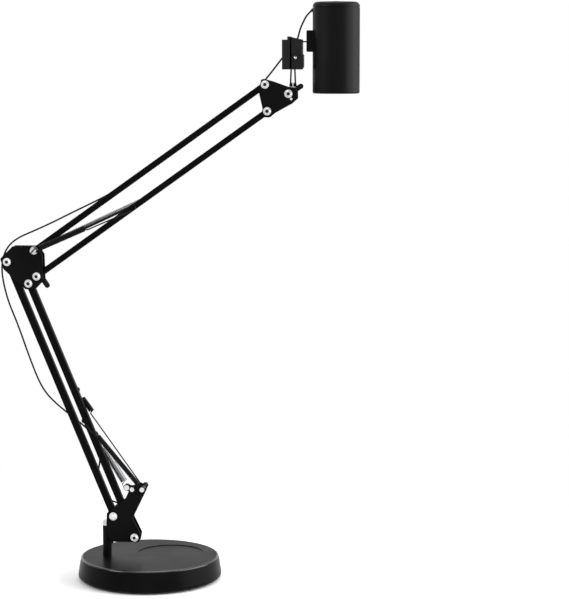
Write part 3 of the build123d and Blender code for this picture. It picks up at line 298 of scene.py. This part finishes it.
coil_end_angle = round(8 * coil_turns_per_layer) * math.pi / 2
coil_angles = np.arange(coil_start_angle, coil_end_angle, 2 * math.pi / points_per_turn)
plug_seat = np.array((-0.0240058, 0.1391760, 0.0039))
plug_way = np.array((0.99977519, 0.02120306, 0.0))
into_plug = plug_seat - np.outer((0.020, 0.010, 0.0), plug_way)
coil_line = smooth_line(np.vstack((cord_route[-1], coil_points(coil_angles), into_plug)))
cord_coil = tube_piece("cord_coil_wound", coil_line, cord_diameter / 2, cord_columns)
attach(cord_coil, "base")
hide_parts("cord_coil")
cords.append(cord_coil)

# %% [markdown]
# ## The plug
# A small moulded plug with a flat steel shell ends the cord. Its grip is one closed form: a
# rounded rectangle whose width and height change along it, carried from the cord to the shell.
# Shallow ribs across the grip come from the same function, as a ripple of its width.


# %% A loft along the plug
def lofted_piece(name, stations, corner_power, columns=64):
    """Superellipse sections along a straight line.

    A station is (along, half width, half height). A section's point is
    (width * cos, height * sin), each with its size raised to 2 / power."""
    turn = np.linspace(0, 2 * math.pi, columns, endpoint=False)
    shape_x = np.sign(np.cos(turn)) * np.abs(np.cos(turn)) ** (2 / corner_power)
    shape_y = np.sign(np.sin(turn)) * np.abs(np.sin(turn)) ** (2 / corner_power)
    upwards = np.array((0, 0, 1.0))
    sideways = np.cross(upwards, plug_way)
    middles = plug_seat + stations[:, :1] * plug_way
    skin = middles[:, None] + stations[:, 1, None, None] * shape_x[None, :, None] * sideways
    skin = skin + stations[:, 2, None, None] * shape_y[None, :, None] * upwards
    vertices = np.vstack((skin.reshape(-1, 3), middles[:1], middles[-1:]))
    start_cap = cap_faces(len(vertices) - 2, 0, columns)
    end_cap = cap_faces(len(vertices) - 1, (len(stations) - 1) * columns, columns)[:, ::-1]
    faces = grid_faces(len(stations), columns)[:, ::-1].tolist()
    return mesh_piece(name, vertices, faces + start_cap.tolist() + end_cap.tolist())


# %% The grip's size along its length
grip_length, grip_half_width, grip_half_height, grip_corner_power = 0.022, 0.0069, 0.00372, 4.5
neck_share, neck_length = 0.32, 0.006
rounding_start, rounding_length, rounding_share = 0.0195, 0.0025, 0.06
ribs_middle, ribs_reach, rib_depth, rib_rate = 0.0115, 0.0055, 0.0001, 2200

grip_along = np.linspace(0, grip_length, 89)
out_of_neck = np.sin(np.clip(grip_along / neck_length, 0, 1) * math.pi / 2)
into_rounding = np.clip((grip_along - rounding_start) / rounding_length, 0, 1)
grip_size = neck_share + (1 - neck_share) * out_of_neck
grip_size *= 1 - rounding_share * (1 - np.sqrt(1 - into_rounding**2))
ribbed = np.abs(grip_along - ribs_middle) < ribs_reach
ripple = rib_depth * ribbed * np.cos(grip_along * rib_rate)
grip_stations = np.c_[
    grip_along, grip_size * grip_half_width + ripple, grip_size * grip_half_height
]
print("widest part of the grip, mm:", round(2000 * grip_stations[:, 1].max(), 2))

# %% Plug grip and shell
grip = lofted_piece("plug_grip", grip_stations, grip_corner_power)
shell_half_width, shell_half_height, shell_corner_power = 0.006, 0.00225, 14
shell_along = np.array((0.0205, 0.0355, 0.0359, 0.0360, 0.0360, 0.0345))
rolled_lip = np.array((1, 1, 0.985, 0.95, 0.93, 0.92))
shell_stations = np.c_[
    shell_along, rolled_lip * shell_half_width, rolled_lip * shell_half_height
]
plug_shell = lofted_piece("plug_shell", shell_stations, shell_corner_power)
for piece in (grip, plug_shell):
    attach(piece, "base")
    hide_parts("cord_plug")
print("plug at, m:", plug_seat.round(4))

# %% [markdown]
# ## The balance springs
# Five extension springs pull on the arm. Each hangs by an eye on a pin, leads straight to its
# first curl, winds closely, and ends in a straight wire with a second eye round a stud on the
# bar. The solid model has only a few open curls, so each spring is wound here as densely as
# the real one. The wire is one line: an eye, a lead, a helix whose first and last curls open
# up, a lead and an eye.


# %% A spring's wire
points_per_curl = 16
end_opening, opening_turn = 0.0030, 0.9
lead_gap, low_lead_points, high_lead_points = 0.0032, 6, 8
eye_turn = np.linspace(0, 1.5 * math.pi, 19)[1:, None]


def spring_line(foot, top, depth, way, lead, length, curls, radius):
    """Eye, lead, helix, lead and eye, as arrays of points.

    The helix is axis * s + radius * (across * cos(turn) + upward * sin(turn)). Its end curls
    open by an amount that fades with exp(-turn / opening turn)."""
    start = np.array((foot[0], depth, foot[1]))
    end = np.array((top[0], depth, top[1]))
    reach = np.linalg.norm(end - start)
    axis = (end - start) / reach
    across = np.cross(axis, (0, way, 0))
    upward = np.cross(axis, across)
    turn = np.linspace(0, 2 * math.pi * curls, points_per_curl * curls + 1)[:, None]
    fades = np.exp((turn - turn[-1]) / opening_turn) - np.exp(-turn / opening_turn)
    height = lead + length * turn / turn[-1] + end_opening * fades
    helix = start + axis * height + radius * (across * np.cos(turn) + upward * np.sin(turn))
    low_height = np.linspace(0, lead - lead_gap, low_lead_points)[:, None]
    high_height = np.linspace(lead + length + lead_gap, reach, high_lead_points)[:, None]
    low_lead = start + radius * across + axis * low_height
    high_lead = start + radius * across + axis * high_height
    low_eye = start + radius * (across * np.cos(eye_turn) - axis * np.sin(eye_turn))
    high_eye = end + radius * (across * np.cos(eye_turn) + axis * np.sin(eye_turn))
    line = np.vstack((low_eye[::-1], low_lead, helix, high_lead, high_eye))
    return line, start + axis * lead, start + axis * (lead + length)


# %% [markdown]
# A spring's ends are on two bodies of the solid model: its foot, which leans, and its head,
# which slides along it.

# %% Five springs
lower_right = (-0.0183299, 0.0527299)
elbow_top = (-0.1417108, 0.4155571)
elbow_right = (-0.1390396, 0.3830667)
horn = (-0.0074, 0.1156)
balance_pin = (-0.0300, 0.1138)
lower_angle = math.radians(112.2)
upper_angle = math.radians(35.46)


def along_bar(pivot, distance, angle):
    """A place on a bar: pivot + distance * (cos, sin) of the bar's angle."""
    return (pivot[0] + distance * math.cos(angle), pivot[1] + distance * math.sin(angle))


near, far = -0.0115, 0.0115
lower_pair = ("lower_spring_foot", "lower_spring_head", ["lower_springs", "lower_spring_hooks"])
balance_pair = ("balance_spring_foot", "balance_spring_head", ["balance_spring", "balance_hook"])
upper_pair = ("upper_spring_foot", "upper_spring_head", ["upper_springs", "upper_spring_hooks"])
# name: (foot, stud, depth, side), (lead, coil, curls, mean radius), wire radius, (bodies, solids)
springs = {
    "lower_spring_near": (
        (horn, along_bar(lower_right, 0.162, lower_angle), near, 1),
        (0.009, 0.078, 68, 0.0027),
        0.00055,
        lower_pair,
    ),
    "lower_spring_far": (
        (horn, along_bar(lower_right, 0.199, lower_angle), far, 1),
        (0.116, 0.020, 11, 0.0029),
        0.00085,
        lower_pair,
    ),
    "balance_spring_wound": (
        (balance_pin, along_bar(lower_right, 0.138, lower_angle), far, 1),
        (0.0078, 0.051, 41, 0.0040),
        0.0006,
        balance_pair,
    ),
    "upper_spring_near": (
        (elbow_top, along_bar(elbow_right, 0.1508, upper_angle), near, -1),
        (0.009, 0.062, 35, 0.0030),
        0.00085,
        upper_pair,
    ),
    "upper_spring_far": (
        (elbow_top, along_bar(elbow_right, 0.1670, upper_angle), far, -1),
        (0.009, 0.136, 122, 0.0027),
        0.00055,
        upper_pair,
    ),
}
wire_columns = 8
spring_pieces = {}
for name, (ends, winding, wire_radius, (foot_body, head_body, solids)) in springs.items():
    line, first_curl, last_curl = spring_line(*ends, *winding)
    spring = tube_piece(name, line, wire_radius, wire_columns)
    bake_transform(spring)
    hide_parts(*solids)
    spring_pieces[name] = spring
    print(f"{name}: {winding[2]} curls, {len(spring.data.polygons)} faces")

# %% [markdown]
# ## The clamp's screw
# A bright screw holds the spring inside the clamp's button. Its domed head is a profile turned
# round the screw's axis: flat at the rim, then an arc, with a cross recess pressed into it.

# %% Domed screw head
screw_place = np.array((0.1854885, -0.0110, 0.6541789))
screw_radius, screw_rise, dome_power = 0.0024, 0.0013, 2.6
cross_depth, cross_reach, cross_slimness = 0.0005, 0.62, 6
rings, spokes = 24, 48
ring, turn = np.meshgrid(
    np.linspace(1, 0.02, rings),
    np.linspace(0, 2 * math.pi, spokes, endpoint=False),
    indexing="ij",
)
cross = np.clip(1 - np.abs(np.sin(2 * turn)) * ring * cross_slimness, 0, 1)
dome = screw_rise * (1 - ring**dome_power) - cross_depth * cross * (ring < cross_reach)
flat_x, flat_z = screw_radius * ring * np.cos(turn), screw_radius * ring * np.sin(turn)
skin = screw_place + np.stack((flat_x, -dome, flat_z), axis=-1)
vertices = np.vstack((skin.reshape(-1, 3), screw_place - (0, dome[-1].mean(), 0)))
faces = grid_faces(rings, spokes).tolist()
faces += cap_faces(len(vertices) - 1, (rings - 1) * spokes, spokes).tolist()
clamp_screw = mesh_piece("clamp_screw", vertices, faces)
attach(clamp_screw, "clamp_button")
print("screw head at, m:", screw_place)

# %% [markdown]
# ## Finishes
# Nearly everything here is black, so the finishes differ in gloss and in grain and not in
# colour: stoved powder coat on the sheet steel, satin paint on the bars, an anodised shell,
# semi-gloss lacquer on the base, spark-eroded plastic. Two small helpers are enough for all of
# them: one turns a written colour to the linear light that the shader counts in, and one adds
# a node with its settings.


# %% Colour and node helpers
def linear(written):
    """A written sRGB colour, such as #1A2B3C, as linear light with full opacity."""
    parts = np.array([int(written[k : k + 2], 16) for k in (1, 3, 5)]) / 255
    light = np.where(parts <= 0.04045, parts / 12.92, ((parts + 0.055) / 1.055) ** 2.4)
    return (*light.tolist(), 1.0)


def node(tree, kind, links=None, **settings):
    """Adds a node. Settings are its properties or its sockets' values, links its inputs."""
    made = tree.nodes.new("ShaderNode" + kind)
    for key, value in settings.items():
        if hasattr(made, key):
            setattr(made, key, value)
        else:
            made.inputs[key.replace("_", " ")].default_value = value
    for key, output in (links or {}).items():
        tree.links.new(output, made.inputs[key])
    return made


# %% [markdown]
# A finish starts from a principled shader. Its colour and its gloss vary a little from place to
# place, in patches of a few centimetres, and its grain is a bump. All come from noise in the
# object's own coordinates. One cell of noise holds a bump and a dip, so the grain's noise has
# a scale of one over twice the real grain's size in metres.


# %% A finish
patches_per_metre = 22.0


def finish(name, dark, light, grain, depth, rough, metal=0.0, stretch=(1, 1, 1), **sockets):
    """A surface between two colours, with grain of a size in metres and a depth of bump."""
    material = bpy.data.materials.new(name)
    material.use_nodes = True
    tree = material.node_tree
    shader = tree.nodes["Principled BSDF"]
    place = node(tree, "TexCoord").outputs["Object"]
    spread = node(tree, "Mapping", {"Vector": place}, Scale=stretch).outputs["Vector"]
    fine = node(tree, "TexNoise", {"Vector": spread}, Scale=0.5 / grain, Detail=3.0)
    broad = node(tree, "TexNoise", {"Vector": place}, Scale=patches_per_metre, Detail=4.0)
    colour = node(tree, "ValToRGB", {"Fac": broad.outputs["Fac"]})
    for end, position, shade in zip(colour.color_ramp.elements, (0.35, 0.68), (dark, light)):
        end.position = position
        end.color = linear(shade)
    wear = node(
        tree, "MapRange", {"Value": broad.outputs["Fac"]},
        From_Min=0.3, From_Max=0.7, To_Min=rough[0], To_Max=rough[1],
    )
    bump = node(tree, "Bump", {"Height": fine.outputs["Fac"]}, Strength=0.6, Distance=depth)
    tree.links.new(colour.outputs["Color"], shader.inputs["Base Color"])
    tree.links.new(wear.outputs["Result"], shader.inputs["Roughness"])
    tree.links.new(bump.outputs["Normal"], shader.inputs["Normal"])
    shader.inputs["Metallic"].default_value = metal
    for key, value in sockets.items():
        shader.inputs[key.replace("_", " ")].default_value = value
    material.diffuse_color = linear(light)
    return material


# %% [markdown]
# Powder coat is melted powder, so its skin has a fine orange peel of about half a millimetre
# and a satin gloss. The painted bars and the anodised shell are smoother. Lacquer on the base
# has a deeper gloss, and light catches on its edge.

# %% Black finishes
powder_coat = finish(
    "powder_coated_steel", "#070708", "#0B0B0C", 0.0006, 0.00003, (0.36, 0.48),
    Specular_IOR_Level=0.05,
)
bar_paint = finish(
    "satin_painted_tube", "#050506", "#08080A", 0.0005, 0.00001, (0.38, 0.5),
    Specular_IOR_Level=0.04,
)
base_lacquer = finish(
    "lacquered_base_cover", "#060607", "#0A0A0B", 0.0007, 0.00002, (0.28, 0.36),
    Specular_IOR_Level=0.04, Coat_Roughness=0.14,
)
shell_anodising = finish(
    "black_anodised_shell", "#080808", "#0B0B0B", 0.0004, 0.000006, (0.34, 0.42),
    Specular_IOR_Level=0.07,
)
moulded_abs = finish(
    "spark_eroded_abs", "#121213", "#1B1B1C", 0.0005, 0.00004, (0.46, 0.6),
    Specular_IOR_Level=0.13,
)
cord_jacket = finish(
    "soft_pvc_jacket", "#0C0C0D", "#111112", 0.0008, 0.00001, (0.44, 0.55),
    Specular_IOR_Level=0.15,
)
foot_rubber = finish(
    "moulded_rubber", "#121212", "#191919", 0.0012, 0.00006, (0.75, 0.9),
    Specular_IOR_Level=0.2,
)
print("finishes so far:", len(bpy.data.materials))

# %% [markdown]
# Wet lacquer draws back from a sharp edge and dries there as a thicker, glossier bead. On the
# base it is the thin line of light along the rim. The bead is a coat over the lacquer, whose
# weight goes from 0 to 1 by the distance from the base's axis and by the height.

# %% The bead on the base's rim
rim_start, rim_end = 0.0842, 0.0852
bead_start, bead_end = 0.0270, 0.0280
tree = base_lacquer.node_tree
place = node(tree, "TexCoord").outputs["Object"]
apart = node(tree, "SeparateXYZ", {"Vector": place})
flat = node(tree, "CombineXYZ", {"X": apart.outputs["X"], "Y": apart.outputs["Y"]})
outward = node(tree, "VectorMath", {0: flat.outputs["Vector"]}, operation="LENGTH")
near_rim = node(
    tree, "MapRange", {"Value": outward.outputs["Value"]},
    From_Min=rim_start, From_Max=rim_end,
)
near_top = node(
    tree, "MapRange", {"Value": apart.outputs["Z"]}, From_Min=bead_start, From_Max=bead_end
)
bead = node(
    tree, "Math", {0: near_rim.outputs["Result"], 1: near_top.outputs["Result"]},
    operation="MULTIPLY",
)
tree.links.new(bead.outputs["Value"], tree.nodes["Principled BSDF"].inputs["Coat Weight"])
print("the bead is full from, m:", rim_end, "outwards and", bead_end, "upwards")

# %% [markdown]
# Bright metal shows its making. Bolts are nickel plated and mirror the room. The swivel block
# and the heat sink are milled aluminium, with fine level lines. Spring wire is drawn
# smooth: three springs are blackened in hot oil, one is zinc plated and one is left plain.
# Cast iron hides in the base with a rough, grainy skin.

# %% Metals
nickel_plate = finish(
    "nickel_plated_steel", "#C9CACC", "#E4E4E5", 0.0004, 0.000004, (0.16, 0.28), metal=1.0
)
milled_aluminium = finish(
    "milled_aluminium", "#B4B5B7", "#CACBCC", 0.0004, 0.00001, (0.3, 0.42), metal=1.0,
    stretch=(1, 1, 6),
)
spring_wire = finish(
    "drawn_spring_steel", "#8E8F91", "#A2A3A5", 0.0006, 0.000005, (0.3, 0.42), metal=0.6,
    Specular_IOR_Level=0.1,
)
bright_wire = finish(
    "zinc_plated_spring_wire", "#8C8D8F", "#A0A1A3", 0.0006, 0.000005, (0.24, 0.36), metal=1.0
)
oxide_wire = finish(
    "oil_blackened_wire", "#0A0A0B", "#101012", 0.0006, 0.000006, (0.3, 0.42),
    Specular_IOR_Level=0.08,
)
zinc_sheet = finish(
    "zinc_plated_sheet", "#9A9C9D", "#B3B4B4", 0.0012, 0.00001, (0.34, 0.48), metal=1.0
)
cast_iron = finish(
    "sand_cast_iron", "#35352F", "#4A4843", 0.0016, 0.00025, (0.62, 0.8), metal=0.6
)
print("finishes so far:", len(bpy.data.materials))

# %% [markdown]
# The rest is small: a pale nylon bush in the post, white solder mask on the light source's
# board, and glass. Glass passes light, so its colour is nearly white and its transmission
# full. The slide in front of the condenser lens is a tinted disc of glass.

# %% Nylon, board and glass
nylon = finish(
    "moulded_nylon", "#D9D6CC", "#E6E4DB", 0.0006, 0.00002, (0.42, 0.52),
    Subsurface_Weight=0.1, Subsurface_Radius=(0.002, 0.002, 0.002),
)
solder_mask = finish("white_solder_mask", "#D8D8D2", "#E8E8E3", 0.0005, 0.00001, (0.4, 0.5))
haze_per_metre, haze_roughness = 180.0, 0.03


def clear_glass(name, tint, rough):
    """Polished glass with the tint of its colour, and a faint haze of handling in its gloss."""
    material = bpy.data.materials.new(name)
    material.use_nodes = True
    tree = material.node_tree
    shader = tree.nodes["Principled BSDF"]
    place = node(tree, "TexCoord").outputs["Object"]
    haze = node(tree, "TexNoise", {"Vector": place}, Scale=haze_per_metre, Detail=2.0)
    gloss = node(
        tree, "MapRange", {"Value": haze.outputs["Fac"]},
        To_Min=rough, To_Max=rough + haze_roughness,
    )
    tree.links.new(gloss.outputs["Result"], shader.inputs["Roughness"])
    shader.inputs["Base Color"].default_value = linear(tint)
    shader.inputs["Transmission Weight"].default_value = 1.0
    shader.inputs["IOR"].default_value = 1.52
    return material


optical_glass = clear_glass("polished_optical_glass", "#F4F8FA", 0.01)
slide_glass = clear_glass("tinted_slide_glass", "#C8D4DA", 0.03)
print("finishes so far:", len(bpy.data.materials))

# %% [markdown]
# The solid model's pieces come with plain stand-in colours. One table, from each finish to the
# solids that have it, keeps the choice in one place.

# %% Give every solid its finish
node_finishes = {
    powder_coat: [
        "post",
        "yoke_plates",
        "elbow_plates",
        "head_plates",
        "fork",
        "tilt_clevis",
        "mount_block",
    ],
    bar_paint: [
        "lower_bar_left",
        "lower_bar_right",
        "upper_bar_top",
        "upper_bar_bottom",
        "tongue",
    ],
    base_lacquer: ["base_cover"],
    shell_anodising: ["projector_shell", "top_cap", "focus_ring"],
    moulded_abs: [
        "clamp_body",
        "clamp_button",
        "elbow_knob",
        "head_knob",
        "cord_gland",
        "power_button",
        "optics_frame",
        "lens_barrel",
    ],
    foot_rubber: ["base_pad"],
    nickel_plate: [
        "swivel_pin",
        "swivel_stud",
        "yoke_bolts",
        "yoke_washers",
        "yoke_spring_pins",
        "elbow_bolts",
        "elbow_washers",
        "elbow_spring_pin",
        "head_bolts",
        "head_washers",
    ],
    milled_aluminium: ["swivel_block", "heat_sink"],
    zinc_sheet: ["base_plate"],
    cast_iron: ["base_weight"],
    nylon: ["post_bush"],
    solder_mask: ["led_board"],
    optical_glass: ["projection_lens", "condenser_lens"],
    slide_glass: ["image_slide"],
}
dressed = 0
for material, names in node_finishes.items():
    for name in names:
        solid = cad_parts[name]
        if not solid.material_slots:
            solid.data.materials.append(material)
        for slot in solid.material_slots:
            slot.material = material
        dressed += 1
print("solids with a finish of their own:", dressed)

# %% [markdown]
# The bolts' sockets are painted dark as shade, because light hardly reaches in. The painted
# shade goes on the faces of the recess alone: those whose middles lie within its radius of the
# axis, and between the face of the head and the floor of the recess. The slot in the elbow's
# spring pin is such a recess too. Behind the front plate the horn's pin is painted dark all over.

# %% Painted shade in the sockets
# painted shade: a dark finish on the faces inside each recess, standing in for the shade there
painted_socket_shade = finish(
    "painted_socket_shade", "#0A0A0B", "#121213", 0.0004, 0.000004, (0.3, 0.45), Specular_IOR_Level=0.2
)
bolt_recess = (0.0024, -0.01049, -0.0090)
# solid: ((radius, front, back), places of the axes)
recesses = {
    "yoke_bolts": (bolt_recess, [lower_right]),
    "elbow_bolts": (
        bolt_recess,
        [(-0.1763108, 0.4008771), (-0.1494407, 0.3740070), elbow_right],
    ),
    "head_bolts": (
        bolt_recess,
        [(0.1476885, 0.6216789), (0.1503597, 0.5891885), (0.1764885, 0.6104789)],
    ),
    "elbow_spring_pin": ((0.0034, -0.01519, -0.0141), [elbow_top]),
    "yoke_spring_pins": ((0.0045, -0.0100, 0.0170), [horn]),
}
for name, ((reach, front, back), places) in recesses.items():
    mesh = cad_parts[name].data
    centres = np.empty(3 * len(mesh.polygons))
    mesh.polygons.foreach_get("center", centres)
    centres = centres.reshape(-1, 3)
    offsets = centres[:, None, [0, 2]] - np.array(places)[None]
    inside = np.linalg.norm(offsets, axis=2).min(axis=1) < reach
    inside &= (centres[:, 1] > front) & (centres[:, 1] < back)
    mesh.materials.append(painted_socket_shade)
    mesh.polygons.foreach_set("material_index", np.where(inside, len(mesh.materials) - 1, 0))
    print(name, "dark faces:", int(inside.sum()))

# %% [markdown]
# The lower side of the long upper spring is painted darker, as painted shade under the light
# from above. The height over the spring's own axis says how much: the product of the place with a
# direction across the axis, less the same product for the spring's foot.

# %% Painted shade under the far upper spring
far_foot, far_stud = np.array(springs["upper_spring_far"][0][:2])
far_axis = (far_stud - far_foot) / np.linalg.norm(far_stud - far_foot)
over_axis = np.array((-far_axis[1], far_axis[0]))
axis_height = float(over_axis @ far_foot)
shade_edge, shaded_share = 0.0007, 0.03
tree = spring_wire.node_tree
shader = tree.nodes["Principled BSDF"]
place = node(tree, "TexCoord").outputs["Object"]
height = node(tree, "VectorMath", {0: place}, operation="DOT_PRODUCT")
height.inputs[1].default_value = (over_axis[0], 0, over_axis[1])
unshaded = node(
    tree, "MapRange", {"Value": height.outputs["Value"]}, To_Min=shaded_share,
    From_Min=axis_height - shade_edge, From_Max=axis_height + shade_edge,
)
# painted shade: the wire's colour is scaled down on the side below the spring's axis
wire_colour = shader.inputs["Base Color"].links[0].from_socket
painted_shade = node(
    tree, "VectorMath", {"Vector": wire_colour, "Scale": unshaded.outputs["Result"]},
    operation="SCALE",
)
tree.links.new(painted_shade.outputs["Vector"], shader.inputs["Base Color"])
print("height of the grease's edge over the spring's axis, m:", shade_edge)

# %% Finishes of the new pieces
new_finishes = {
    cord_jacket: cords,
    moulded_abs: [grip],
    nickel_plate: [clamp_screw, plug_shell],
    oxide_wire: [
        spring_pieces[name]
        for name in ("lower_spring_near", "lower_spring_far", "upper_spring_near")
    ],
    spring_wire: [spring_pieces["upper_spring_far"]],
    bright_wire: [spring_pieces["balance_spring_wound"]],
}
for material, pieces in new_finishes.items():
    for piece in pieces:
        piece.data.materials.append(material)
print("new pieces with a finish:", sum(map(len, new_finishes.values())))

# %% [markdown]
# ## Floor and light
# The object stands on a plain white sheet that runs on to the horizon, lit by three large soft
# lamps: a key from the front left, a fill from the right and one from above. The sheet and the
# world look white to the camera and in reflections, without throwing that much light.

# %% Floor
floor_size = 6.0
edge = floor_size / 2
floor_corners = np.array(
    ((-edge, -edge, 0.0), (edge, -edge, 0.0), (edge, edge, 0.0), (-edge, edge, 0.0))
)
floor = mesh_piece("floor", floor_corners, [(0, 1, 2, 3)], smooth=False)
paper = bpy.data.materials.new("white_paper_sweep")
paper.use_nodes = True
paper_shader = paper.node_tree.nodes["Principled BSDF"]
paper_shader.inputs["Base Color"].default_value = linear("#F4F4F4")
paper_shader.inputs["Roughness"].default_value = 0.9
paper_shader.inputs["Specular IOR Level"].default_value = 0.1
floor.data.materials.append(paper)
print("floor, m:", floor_size, "square")

# %% [markdown]
# Far from the object the sheet is seen as pure white, so that it has no edge against the world.
# The change goes by the distance from the object's middle, and only for what the camera,
# mirrors and glass see, so it throws no light.


# %% A sheet without an edge
fade_start, fade_end = 0.25, 0.75


def seen_directly(tree):
    """1 where a ray comes from the camera, a mirror or glass, 0 for the light on surfaces."""
    rays = node(tree, "LightPath")
    either = {0: rays.outputs["Is Camera Ray"], 1: rays.outputs["Is Glossy Ray"]}
    seen = node(tree, "Math", either, operation="MAXIMUM")
    through = {0: seen.outputs[0], 1: rays.outputs["Is Transmission Ray"]}
    return node(tree, "Math", through, operation="MAXIMUM").outputs[0]


tree = paper.node_tree
place = node(tree, "TexCoord").outputs["Object"]
distance = node(tree, "VectorMath", {0: place}, operation="LENGTH").outputs["Value"]
fade = node(
    tree, "MapRange", {"Value": distance}, interpolation_type="SMOOTHSTEP",
    From_Min=fade_start, From_Max=fade_end,
)
share = node(
    tree, "Math", {0: fade.outputs["Result"], 1: seen_directly(tree)}, operation="MULTIPLY"
)
white_paper = node(tree, "Emission", Strength=1.0)
sheet = node(
    tree,
    "MixShader",
    {0: share.outputs[0], 1: paper_shader.outputs[0], 2: white_paper.outputs[0]},
)
tree.links.new(sheet.outputs[0], tree.nodes["Material Output"].inputs["Surface"])
print("the sheet turns white, m from the middle:", fade_start, "to", fade_end)

# %% World and lamps
world = bpy.data.worlds.new("studio")
bpy.context.scene.world = world
world.use_nodes = True
tree = world.node_tree
tree.nodes.clear()
white, sky_light = (1, 1, 1, 1), 0.55
white_sky = node(tree, "Background", Color=white, Strength=1.0)
soft_sky = node(tree, "Background", Color=white, Strength=sky_light)
sky = node(
    tree,
    "MixShader",
    {0: seen_directly(tree), 1: soft_sky.outputs[0], 2: white_sky.outputs[0]},
)
node(tree, "OutputWorld", {"Surface": sky.outputs[0]})


def soft_lamp(name, place, target, size, power):
    """A square lamp at a place, turned to its target."""
    data = bpy.data.lights.new(name, "AREA")
    data.shape = "SQUARE"
    data.size = size
    data.energy = power
    lamp = bpy.data.objects.new(name, data)
    bpy.context.collection.objects.link(lamp)
    lamp.location = place
    way = Vector(target) - Vector(place)
    lamp.rotation_euler = way.to_track_quat("-Z", "Y").to_euler()
    print(f"{name} lamp: {power} W, {way.length:.1f} m from its target")


soft_lamp("key", (-1.8, -1.2, 1.6), (0.0, 0.0, 0.3), 1.0, 30)
soft_lamp("side", (2.0, 0.0, 0.9), (0.1, 0.0, 0.4), 2.3, 84)
soft_lamp("top", (0.1, 0.5, 2.1), (0.0, 0.0, 0.2), 1.2, 20)

bpy.context.scene.view_settings.view_transform = "Standard"
